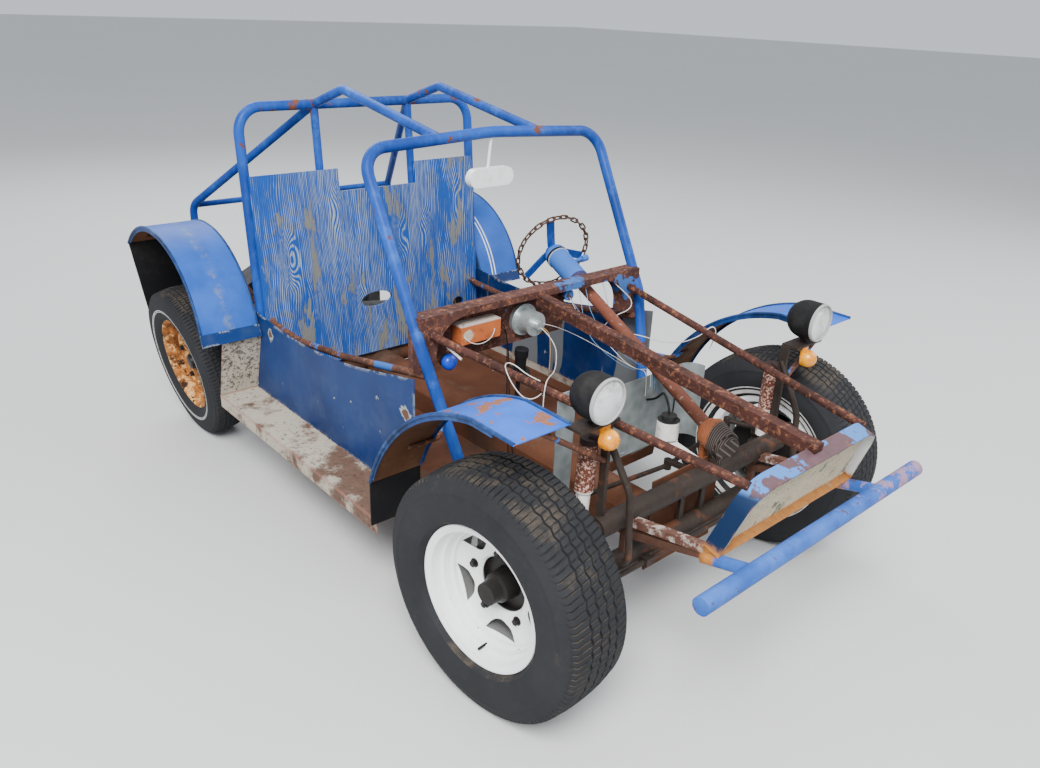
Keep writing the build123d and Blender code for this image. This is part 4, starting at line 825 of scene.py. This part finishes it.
# Front axle: beam tubes, trailing arms, knuckles, tie rods, steering box and its arm.
# Black with years of grease and road dirt, rusty where it has dried.
look = Finish("greasy_iron", 0.55)
look.ground((14, 8, 0.7), (0.009, 0.007, 0.006), (0.050, 0.036, 0.029))
look.coat((9, 8, 0.7, 0.54, 0.66), (0.10, 0.040, 0.021))
clods = look.noise(45, 9, 0.75)
greasy_iron = look.finish(clods, 0.003, clods * 0.6 + 0.2)
dress(greasy_iron, "front_beam", "trailing_arms", "knuckle_left", "knuckle_right")
dress(greasy_iron, "tie_rod_left", "tie_rod_right", "pitman_arm")
look = Finish("steering_box_casting", 0.6)
look.ground((30, 8, 0.7), (0.010, 0.008, 0.007), (0.060, 0.042, 0.034))
rib_relief_and_highlight = look.axis("Y").sine(900)
# painted highlight: a lighter grey along the crests of the fine ribs, which also give the relief
look.coat(rib_relief_and_highlight.step(0.5, 0.9), (0.13, 0.11, 0.10))
BOX_REAR = place(0, -90, 0).y
rear_part = (look.axis("Y") + look.noise(40, 6, share=0.03)).step(BOX_REAR, BOX_REAR + 0.010)
look.coat(rear_part, look.noise(26, 8, 0.7).mix((0.16, 0.045, 0.018), (0.45, 0.15, 0.06)))
dress(look.finish(rib_relief_and_highlight, 0.0008), "steering_box")

# Shock absorbers: steel dust tubes over the dampers.
# Red-brown paint flaking to white metal over the rusty upper tube, and a cream lower body.
look = Finish("shock_tube", 0.7)
look.ground((20, 6), (0.085, 0.024, 0.016), (0.17, 0.058, 0.036))
flake = look.noise(120, 7, 0.75)
look.coat(flake.step(0.515, 0.57), (0.62, 0.42, 0.34))
cream = look.noise(40, 6, 0.7, 0.62, 0.66).mix((0.74, 0.72, 0.68), (0.16, 0.08, 0.05))
look.coat(look.axis("Z").step(0.604, 0.598), cream)
look.coat(look.axis("Z").step(0.735, 0.745), (0.03, 0.018, 0.016))
dress(look.finish(flake, 0.001), "shocks")

# Headlamps: matt black bowls on posts, a rim, a silvered reflector and a fluted glass with dry dust.
# The amber lamps below have ribbed lenses on black bases.
look = Finish("lamp_bowl_black", 0.75)
look.ground((12, 7, 0.7, 0.4, 0.8), (0.008, 0.008, 0.0085), (0.030, 0.028, 0.026))
BOWL_FRONT = place(0, -174.6, 0).y
look.coat(look.axis("Y").step(BOWL_FRONT + 0.0015, BOWL_FRONT), (0.34, 0.34, 0.33))
bowl_black = look.finish((200, 4), 0.0003)
dress(bowl_black, "headlamps")
look = Finish("lamp_reflector", 0.18, metallic=1.0)
look.ground((30, 4), (0.72, 0.74, 0.76), (0.90, 0.90, 0.90))
silver = look.finish((40, 2), 0.0003)
look = Finish("lamp_glass", 0.12)
dust = (look.noise(24, 8, 0.72) + look.axis("Z").step(0.90, 0.97) * 0.12).step(0.42, 0.78)
look.ground(dust * 0.7, (0.98, 1.0, 1.0), (0.36, 0.36, 0.28))
look.set("Transmission Weight", 0.45)
look.set("IOR", 1.3)
lamp_glass = look.finish((60, 3), 0.0002, dust * 0.4 + 0.06)
look = Finish("amber_lens", 0.25)
look.ground((35, 6, 0.7, 0.35, 0.75), (0.66, 0.19, 0.001), (0.90, 0.42, 0.006))
look.set("Transmission Weight", 0.05)
look.set("Coat Weight", 0.4)
dress(look.finish((50, 3), 0.0004), "indicators")


def turned(centre, outline, steps):
    """A closed outline of (forward, radius) in metres turned about the line ahead through a point."""
    verts = []
    for i in range(steps):
        angle = math.tau * i / steps
        verts += [centre + Vector((r * math.cos(angle), -ahead, r * math.sin(angle))) for ahead, r in outline]
    return verts, skin(steps, len(outline), True)


REFLECTOR = [
    (0.006, 0.0005), (0.010, 0.020), (0.020, 0.038), (0.036, 0.0540), (0.0365, 0.0560), (0.034, 0.0565),
    (0.018, 0.040), (0.006, 0.022), (0.003, 0.0005),
]
LAMP_RIM = [
    (0.040, 0.0600), (0.0500, 0.0605), (0.0520, 0.0590), (0.0515, 0.0560), (0.0475, 0.0545), (0.0455, 0.0565),
]
GLASS_RADIUS, GLASS_THICK, GLASS_FRONT, GLASS_BULGE = 0.0565, 0.0035, 0.046, 0.0085
FLUTE_DEPTH, FLUTE_PITCH, FLUTED_RADIUS = 0.0009, 1100, 0.050
RINGS, SPOKES = 16, 72
for side_name, side in (("left", 1), ("right", -1)):
    centre = place(side * 480, -130, 915)
    piece(f"headlamp_{side_name}_reflector", [turned(centre, REFLECTOR, 64)], [silver])
    # the glass bulges forward, with upright flutes pressed on its inner face
    verts, faces = [], []
    for inner_face in (False, True):
        for r in range(RINGS + 1):
            radius = GLASS_RADIUS * r / RINGS
            for x, z in circle(radius, SPOKES):
                front = GLASS_FRONT + GLASS_BULGE * (1 - (radius / GLASS_RADIUS) ** 2)
                if inner_face:
                    front -= GLASS_THICK + (FLUTE_DEPTH * math.sin(x * FLUTE_PITCH) if radius < FLUTED_RADIUS else 0)
                verts.append(centre + Vector((x, -front, z)))
    shell_size = (RINGS + 1) * SPOKES
    for first in (0, shell_size):
        for r in range(RINGS):
            for s in range(SPOKES):
                a, b = (first + r * SPOKES + k for k in (s, (s + 1) % SPOKES))
                faces.append((a, b, b + SPOKES, a + SPOKES) if r else (a, b + SPOKES, a + SPOKES))
    for s in range(SPOKES):
        a, b = RINGS * SPOKES + s, RINGS * SPOKES + (s + 1) % SPOKES
        faces.append((a, b, b + shell_size, a + shell_size))
    name = f"headlamp_{side_name}_lens"
    glass = piece(name, [(verts, faces)], [lamp_glass], smooth=50, merge=MERGE)
    if side > 0:
        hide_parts("lamp_glasses")
    piece(f"headlamp_{side_name}_rim", [turned(centre, LAMP_RIM, 64)], [bowl_black])

# Steering column: a rusty tube from the steering box, in orange primer where it passes the dash.
# The switch housing, its lever and the wheel's spokes are blue; a dark clamp band holds the housing.
COLUMN_TOP = place(330, 800, 880)
COLUMN_RUN = Vector((0.200, 0.860, 0.268)).normalized()
look = Finish("column_primer_and_paint", 0.7)
reach = look.vector("DOT_PRODUCT", look.vector("SUBTRACT", look.place, COLUMN_TOP), COLUMN_RUN)
look.ground((22, 8, 0.7), (0.075, 0.026, 0.018), (0.20, 0.070, 0.042))
primer = look.noise(18, 8, 0.7).mix((0.10, 0.030, 0.019), (0.24, 0.082, 0.048))
look.coat((reach + look.noise(14, 7, 0.7, share=0.22)).step(-0.33, -0.24), primer)
look.coat((45, 8, 0.7, 0.58, 0.66, 0.7), (0.38, 0.26, 0.20))
look.coat(reach.step(-0.0905, -0.0895), look.noise(9, 6, 0.6).mix((0.020, 0.095, 0.38), (0.060, 0.18, 0.52)))
band = reach.step(0.064, 0.065).mix((0.50, 0.52, 0.54), (0.012, 0.012, 0.014))
look.coat(reach.off(0.069).step(0.0075, 0.0068), band)
look.coat((look.noise(30, 8, 0.7) + look.edges(0.004) * 0.10).step(0.68, 0.71), (0.11, 0.048, 0.028))
dress(look.finish((80, 6, 0.7), 0.0008), "steering_column")

# Steering wheel: a ring of chain, its links welded stiff, on three flat spokes with a turned hub.
# The chain is dark brown rust and the spokes are blue with bare ends at the welds.
look = Finish("rusty_chain", 0.8, metallic=0.2)
look.ground((60, 8, 0.7), (0.030, 0.017, 0.013), (0.13, 0.068, 0.046))
look.coat(look.noise(35, 6, 0.7, 0.60, 0.68, shift=(4, 1, 2)), (0.20, 0.16, 0.14))
chain_rust = look.finish((300, 5, 0.7), 0.0005)
WHEEL_RING, LINKS = 148, 34
SPOKE_ANGLES = (107, 227, 347)
# the hub's outline is (out, radius), a spoke's run is (out, radius), its section is (across, out), all in mm
HUB = [(-18, 0.5), (-18, 29), (2, 30), (8, 27), (12, 20), (18, 16), (18, 0.5)]
SPOKE_RUN = ((6, 16), (8, 40), (5, 80), (1, 118), (0, 141))
SPOKE_SECTION = ((-16, -2), (-15, -3), (15, -3), (16, -2), (16, 2), (15, 3), (-15, 3), (-16, 2))


def link_tree():
    """Hangs one chain link on each point, turned by the point's own rotation."""
    growth = Growth("chain_links", "Wire thickness", "Link length", "Link width")

    def worked(operation, first, second):
        made = growth.node("ShaderNodeMath", operation=operation)
        growth.link((first, made.inputs[0]))
        if isinstance(second, float):
            made.inputs[1].default_value = second
        else:
            growth.link((second, made.inputs[1]))
        return made.outputs[0]

    thick, long, wide = growth.entry[1:4]
    across = worked("SUBTRACT", wide, thick)
    oblong = growth.node("GeometryNodeCurvePrimitiveQuadrilateral")
    rounded = growth.node("GeometryNodeFilletCurve", mode="POLY")
    rounded.inputs["Count"].default_value = 9
    section = growth.node("GeometryNodeCurvePrimitiveCircle")
    section.inputs["Resolution"].default_value = 9
    solid = growth.node("GeometryNodeCurveToMesh")
    turned_by = growth.node("GeometryNodeInputNamedAttribute", data_type="QUATERNION")
    turned_by.inputs["Name"].default_value = "turn"
    hung = growth.node("GeometryNodeInstanceOnPoints")
    growth.link(
        (worked("SUBTRACT", long, thick), oblong.inputs["Width"]),
        (across, oblong.inputs["Height"]),
        (oblong.outputs[0], rounded.inputs["Curve"]),
        (worked("MULTIPLY", across, 0.49), rounded.inputs["Radius"]),
        (worked("MULTIPLY", thick, 0.5), section.inputs["Radius"]),
        (rounded.outputs[0], solid.inputs["Curve"]),
        (section.outputs[0], solid.inputs["Profile Curve"]),
        (growth.entry[0], hung.inputs["Points"]),
        (solid.outputs[0], hung.inputs["Instance"]),
        (turned_by.outputs[0], hung.inputs["Rotation"]),
    )
    return growth.ended(hung.outputs[0], chain_rust)


random.seed(11)
wheel_centre, wheel_axis = wheel_at["steering_wheel"]
link_places, link_turns = [], []
for k in range(LINKS):
    spot = on_axle("steering_wheel", 0, WHEEL_RING + random.uniform(-1.2, 1.2), math.tau * k / LINKS)
    out = (spot - wheel_centre).normalized()
    along = wheel_axis.cross(out).normalized()
    basis = Matrix((along, out, along.cross(out))).transposed()
    roll = math.pi / 2 * (k % 2) + random.uniform(-0.25, 0.25)
    link_places.append(spot)
    link_turns += list((basis @ Matrix.Rotation(roll, 3, "X")).to_quaternion())
link_seed = bpy.data.meshes.new("chain_places")
link_seed.from_pydata(link_places, [], [])
link_seed.attributes.new("turn", "QUATERNION", "POINT").data.foreach_set("value", link_turns)
link_sizes = {"Wire thickness": 0.0062, "Link length": 0.040, "Link width": 0.0215}
grown("steering_wheel_chain", link_seed, link_tree(), "steering_wheel", link_sizes)
parts = [lathe("steering_wheel", HUB, 48)]
for spoke_angle in SPOKE_ANGLES:
    run = [on_axle("steering_wheel", out, radius, math.radians(spoke_angle)) for out, radius in SPOKE_RUN]
    broad = wheel_axis.cross((run[-1] - run[0]).normalized()).normalized()
    verts = [spot + broad * (u / 1000) + wheel_axis * (v / 1000) for spot in run for u, v in SPOKE_SECTION]
    parts.append((verts, skin(len(run), len(SPOKE_SECTION))))
spokes = piece("steering_wheel_spokes", parts, [hoop_blue], "steering_wheel", smooth=30)
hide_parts("steering_wheel")

# Toe board: a bent galvanised sheet in front of the pedals.
# Dull zinc with mottled spangle, dark drips and brown stains.
look = Finish("galvanised_sheet", 0.5, metallic=0.35)
spangle = look.made("ShaderNodeTexVoronoi", "Distance", {"Vector": look.place, "Scale": 26})
look.ground(spangle, (0.19, 0.22, 0.22), (0.33, 0.36, 0.36))
look.coat((6, 8, 0.7, 0.50, 0.72, 0.5), (0.10, 0.095, 0.085))
look.coat(look.noise(1, 6, 0.7, 0.60, 0.70, 0.5, stretch=(70, 70, 4)), (0.09, 0.075, 0.06))
dress(look.finish((60,), 0.0005), "toe_board")

# Brake reservoir: a white plastic pot on a flat bracket from the front axle's beam.
# Stained brown by fluid and dirt, with a black cap above a sharp line.
look = Finish("reservoir_plastic", 0.35)
look.ground((22, 8, 0.7, 0.45, 0.8), (0.76, 0.75, 0.70), (0.36, 0.30, 0.22))
look.coat(look.axis("Z").step(0.6185, 0.6195), (0.02, 0.02, 0.02))
dress(look.finish((90, 4), 0.0003), "brake_reservoir")

# Speedometer: a stepped metal can on the forward face of the dash, its widest rim against the sheet.
# Thin grey dirt on bright tinned steel.
look = Finish("instrument_can", 0.35, metallic=0.7)
look.ground((20, 8, 0.7, 0.4, 0.8), (0.62, 0.68, 0.68), (0.30, 0.32, 0.31))
dress(look.finish((70, 4), 0.0004), "speedometer")

# Gear lever: a rubber boot and a thin lever on the tunnel.
# Both are as black and dusty as the flaps.
dress(flap_black, "gear_lever")

# Fuse box: an orange plastic box under the dash with a pale lid and a round paper patch.
# Smeared with brown dirt.
look = Finish("fuse_box_plastic", 0.45)
look.ground((30, 7, 0.7), (0.34, 0.075, 0.022), (0.56, 0.16, 0.05))
patch = look.vector("DISTANCE", look.place, place(-300, 596, 806)) + look.noise(60, share=0.03)
look.coat(patch.step(0.036, 0.032), (0.48, 0.40, 0.30))
look.coat(look.axis("Z").step(0.834, 0.837), (0.56, 0.47, 0.42))
look.coat(look.noise(26, 8, 0.7, 0.54, 0.66, 0.7, shift=(2, 4, 1)), (0.13, 0.055, 0.035))
dress(look.finish((90, 4), 0.0004), "fuse_box")

# Relay: a black can with a blue plastic lid, fixed ahead of the dash's right end.
# The can is as black as the lamps; outlines are (forward, radius) in metres.
look = Finish("blue_lid", 0.3)
look.ground((40, 6, 0.6), (0.004, 0.030, 0.42), (0.012, 0.075, 0.62))
blue_lid = look.finish((80, 4), 0.0003)
CAN = [(0.0, 0.0005), (0.0, 0.021), (0.020, 0.021), (0.020, 0.0005)]
LID = [
    (0.019, 0.0005), (0.019, 0.025), (0.028, 0.026), (0.036, 0.024), (0.042, 0.018), (0.045, 0.009), (0.046, 0.0005),
]
relay_at = place(-404, 586, 750)
piece("relay_can", [turned(relay_at, CAN, 40)], [bowl_black], smooth=40)
piece("relay_lid", [turned(relay_at, LID, 40)], [blue_lid], smooth=40)

# Mirror: a white pressed back on a thin stem that hangs from the windshield hoop.
# Clean white with a little yellow grime.
look = Finish("mirror_white", 0.3)
look.ground((22, 7, 0.7, 0.5, 0.85), (0.78, 0.79, 0.78), (0.45, 0.42, 0.36))
dress(look.finish((50, 3), 0.0002), "mirror")

# Engine, gear case, fan housing and silencer: plain masses at the rear.
# Oxidised alloy, black tinware and rusty steel.
look = Finish("oxidised_alloy", 0.6, metallic=0.4)
look.ground((16, 8, 0.7), (0.10, 0.095, 0.085), (0.33, 0.32, 0.30))
look.coat((8, 8, 0.7, 0.52, 0.66), (0.045, 0.035, 0.028))
dress(look.finish((90, 7, 0.7), 0.0012), "engine", "transaxle")
tin_black = worn_enamel("tin_black", (0.018, 0.018, 0.019), (0.010, 0.010, 0.011), (0.05, 0.048, 0.045), 0.62)
dress(tin_black, "fan_shroud")
dress(tube_rust, "silencer")

# Loose wiring: thin insulated wires that hang ahead of the dash, dusty and a little kinked.
# They sag from the dash over the hood rails and the toe board's top edge, or drop from the fuse box.
# The stub of a broken lever at the dash's right end is of the same white plastic.
coats = {}
for colour, base, dirt in (
    ("white", (0.66, 0.64, 0.60), (0.30, 0.25, 0.20)),
    ("blue", (0.16, 0.30, 0.50), (0.08, 0.10, 0.14)),
    ("yellow", (0.50, 0.30, 0.10), (0.22, 0.12, 0.06)),
    ("black", (0.008, 0.008, 0.009), (0.04, 0.034, 0.03)),
):
    look = Finish(f"wire_{colour}", 0.5)
    look.ground((45, 8, 0.7, 0.45, 0.75, 0.6), base, dirt)
    coats[colour] = look.finish((200, 3), 0.0002)
STUB = [place(-439, 545, 827), place(-436, 520, 818), place(-432, 490, 806), place(-429, 466, 797)]
HANGING = ("bare", "medium", "hanging")
# each row: name, colour, diameter and length in mm, (far end, stiffness, lay), route in mm
WIRES = (
    ("meter_wire_white", "white", 3, 675, HANGING, (
        (-28, 548, 788), (-24, 520, 778), (-45, 450, 752), (-130, 360, 748), (-235, 262, 776), (-330, 182, 816),
        (-372, 150, 826), (-395, 132, 818), (-402, 128, 790), (-398, 132, 752), (-392, 138, 728))),
    ("meter_wire_yellow", "yellow", 2.5, 165, HANGING, (
        (-20, 550, 786), (0, 540, 776), (6, 533, 740), (6, 530, 700), (4, 527, 655), (2, 526, 632))),
    ("rail_loop_wire", "white", 3, 310, HANGING, (
        (-379, 158, 787), (-386, 164, 776), (-398, 178, 764), (-410, 205, 762), (-418, 240, 790), (-420, 268, 822),
        (-410, 288, 838), (-394, 286, 840), (-384, 262, 832), (-382, 232, 823), (-380, 200, 819), (-376, 172, 817))),
    ("dash_wire_white", "white", 3.5, 885, HANGING, (
        (362, 610, 898), (372, 600, 870), (405, 580, 835), (440, 562, 800), (436, 550, 776), (400, 542, 764),
        (345, 540, 762), (290, 538, 744), (262, 530, 726), (280, 518, 712), (315, 500, 708), (345, 465, 712),
        (352, 400, 716), (352, 320, 722), (358, 240, 744), (370, 180, 788), (378, 160, 818), (392, 150, 824),
        (404, 146, 806), (402, 150, 772), (394, 156, 742))),
    ("switch_wire_white", "white", 2, 540, HANGING, (
        (152, 598, 848), (158, 585, 826), (170, 570, 790), (196, 545, 750), (226, 505, 712), (236, 450, 682),
        (222, 380, 660), (196, 300, 664), (176, 240, 690), (172, 224, 692), (170, 214, 676), (168, 212, 640))),
    ("switch_wire_blue", "blue", 2, 550, HANGING, (
        (158, 600, 846), (172, 580, 806), (206, 548, 766), (250, 500, 726), (262, 440, 690), (244, 370, 668),
        (214, 300, 672), (196, 244, 694), (190, 226, 694), (188, 214, 676), (190, 210, 628))),
    ("loom_wire_blue_1", "blue", 2, 600, HANGING, (
        (230, 612, 898), (232, 596, 862), (228, 572, 800), (240, 530, 740), (262, 480, 694), (258, 410, 664),
        (236, 330, 664), (216, 260, 688), (208, 228, 694), (206, 215, 674), (204, 212, 610))),
    ("loom_wire_blue_2", "blue", 2, 605, HANGING, (
        (318, 612, 898), (322, 590, 850), (318, 560, 790), (304, 520, 736), (290, 470, 700), (276, 400, 672),
        (256, 320, 668), (238, 256, 690), (230, 228, 696), (228, 215, 676), (228, 211, 600))),
    ("loom_wire_white_1", "white", 2, 565, HANGING, (
        (-18, 550, 800), (10, 540, 792), (60, 520, 770), (120, 490, 735), (170, 450, 700), (200, 390, 672),
        (190, 310, 668), (160, 250, 690), (150, 227, 696), (148, 214, 676), (146, 211, 612))),
    ("loom_wire_blue_3", "blue", 2, 605, HANGING, (
        (200, 612, 898), (198, 590, 846), (188, 560, 778), (186, 520, 716), (204, 470, 676), (214, 400, 650),
        (204, 320, 652), (186, 256, 686), (180, 227, 697), (178, 214, 676), (176, 211, 622))),
    ("toe_board_cable", "black", 5, 245, HANGING, (
        (300, 229, 664), (301, 229, 684), (302, 222, 694), (301, 210, 690), (299, 205, 660), (297, 203, 600),
        (296, 202, 540), (298, 204, 485))),
    ("reservoir_hose", "black", 8, 265, ("object", "stiff", "loose"), (
        (172, 222, 588), (172, 190, 600), (152, 150, 640), (112, 110, 672), (76, 66, 672), (62, 45, 656),
        (60, 40, 632))),
    ("fuse_wire_white", "white", 2.5, 155, ("object", "medium", "hanging"), (
        (-316, 597, 802), (-312, 586, 792), (-285, 580, 776), (-250, 580, 772), (-215, 583, 782), (-196, 590, 800),
        (-190, 597, 806))),
    ("fuse_cable_1", "black", 4, 745, HANGING, (
        (-166, 618, 815), (-150, 612, 818), (-136, 604, 790), (-131, 600, 740), (-129, 598, 660), (-126, 597, 560),
        (-122, 596, 440), (-118, 590, 330), (-122, 565, 262), (-135, 520, 240), (-160, 460, 238), (-185, 410, 238))),
    ("fuse_cable_2", "black", 4, 750, HANGING, (
        (-166, 622, 800), (-146, 618, 800), (-126, 610, 770), (-118, 606, 710), (-114, 604, 620), (-108, 602, 500),
        (-100, 598, 390), (-98, 585, 300), (-104, 548, 250), (-126, 500, 239), (-150, 450, 237), (-168, 395, 237))),
)
for name, colour, diameter, length, (far_end, stiffness, lay), route in WIRES:
    curve = bpy.data.curves.new(name, "CURVE")
    curve.dimensions = "3D"
    curve.bevel_depth = diameter / 2000
    curve.bevel_resolution = 3
    curve.resolution_u = 10
    curve.use_fill_caps = True
    curve.materials.append(coats[colour])
    spline = curve.splines.new("NURBS")
    spline.points.add(len(route) - 1)
    for point, spot in zip(spline.points, route):
        point.co = (*place(*spot), 1)
    spline.order_u = 3
    spline.use_endpoint_u = True
    wire = add_piece(name, curve, "root")
    tuple(place(*route[0]))
piece("dash_lever_stub", [swept(STUB, circle(0.0042, 12))], [coats["white"]])

# Setting: a plain pale floor under soft light, and the camera at the photograph's place.
# Angles are in degrees, places in metres and powers in watts.
FLOOR_REACH = 60
floor_mesh = bpy.data.meshes.new("pale_floor")
corners = [(x * FLOOR_REACH, y * FLOOR_REACH, 0) for x, y in ((-1, -1), (1, -1), (1, 1), (-1, 1))]
floor_mesh.from_pydata(corners, [], [(0, 1, 2, 3)])
look = Finish("pale_floor", 0.9)
look.ground((0.4, 3), (0.60, 0.60, 0.59), (0.63, 0.63, 0.62))
look.set("Base Color", look.tone)
floor_mesh.materials.append(look.material)
floor_plane = bpy.data.objects.new("pale_floor", floor_mesh)
bpy.context.scene.collection.objects.link(floor_plane)

world = bpy.data.worlds.new("soft_sky")
bpy.context.scene.world = world
world.use_nodes = True
world.node_tree.nodes["Background"].inputs["Color"].default_value = (0.86, 0.91, 1.0, 1)
world.node_tree.nodes["Background"].inputs["Strength"].default_value = 0.85
for lamp_name, spot, aim, size, power in (
    ("key_light", (-3.5, -3.5, 5.5), (0, -0.2, 0.4), 3.0, 900),
    ("fill_light", (5.0, -2.5, 4.0), (0, 0, 0.5), 5.0, 220),
    ("back_light", (1.0, 5.5, 5.0), (0, 0, 0.6), 4.0, 260),
):
    light = bpy.data.lights.new(lamp_name, "AREA")
    light.size = size
    light.energy = power
    lamp = bpy.data.objects.new(lamp_name, light)
    lamp.location = spot
    lamp.rotation_euler = (Vector(aim) - Vector(spot)).to_track_quat("-Z", "Y").to_euler()
    bpy.context.scene.collection.objects.link(lamp)

CAMERA_SPOT = (-1.8913, -2.4231, 1.7831)
yaw, fall, tilt = (math.radians(angle) for angle in (42.26, 24.05, 2.50))
SENSOR, FOCAL_PIXELS, PICTURE_WIDTH = 36, 850.5, 1040
ahead = Vector((math.sin(yaw) * math.cos(fall), math.cos(yaw) * math.cos(fall), -math.sin(fall)))
level = ahead.cross(UP).normalized()
rise = level.cross(ahead)
right = level * math.cos(tilt) + rise * math.sin(tilt)
top = rise * math.cos(tilt) - level * math.sin(tilt)
view = bpy.data.cameras.new("photo_camera")
view.sensor_width = SENSOR
view.lens = FOCAL_PIXELS / PICTURE_WIDTH * SENSOR
camera = bpy.data.objects.new("photo_camera", view)
camera.matrix_world = Matrix.Translation(CAMERA_SPOT) @ Matrix((right, top, -ahead)).transposed().to_4x4()
bpy.context.scene.collection.objects.link(camera)
bpy.context.scene.camera = camera
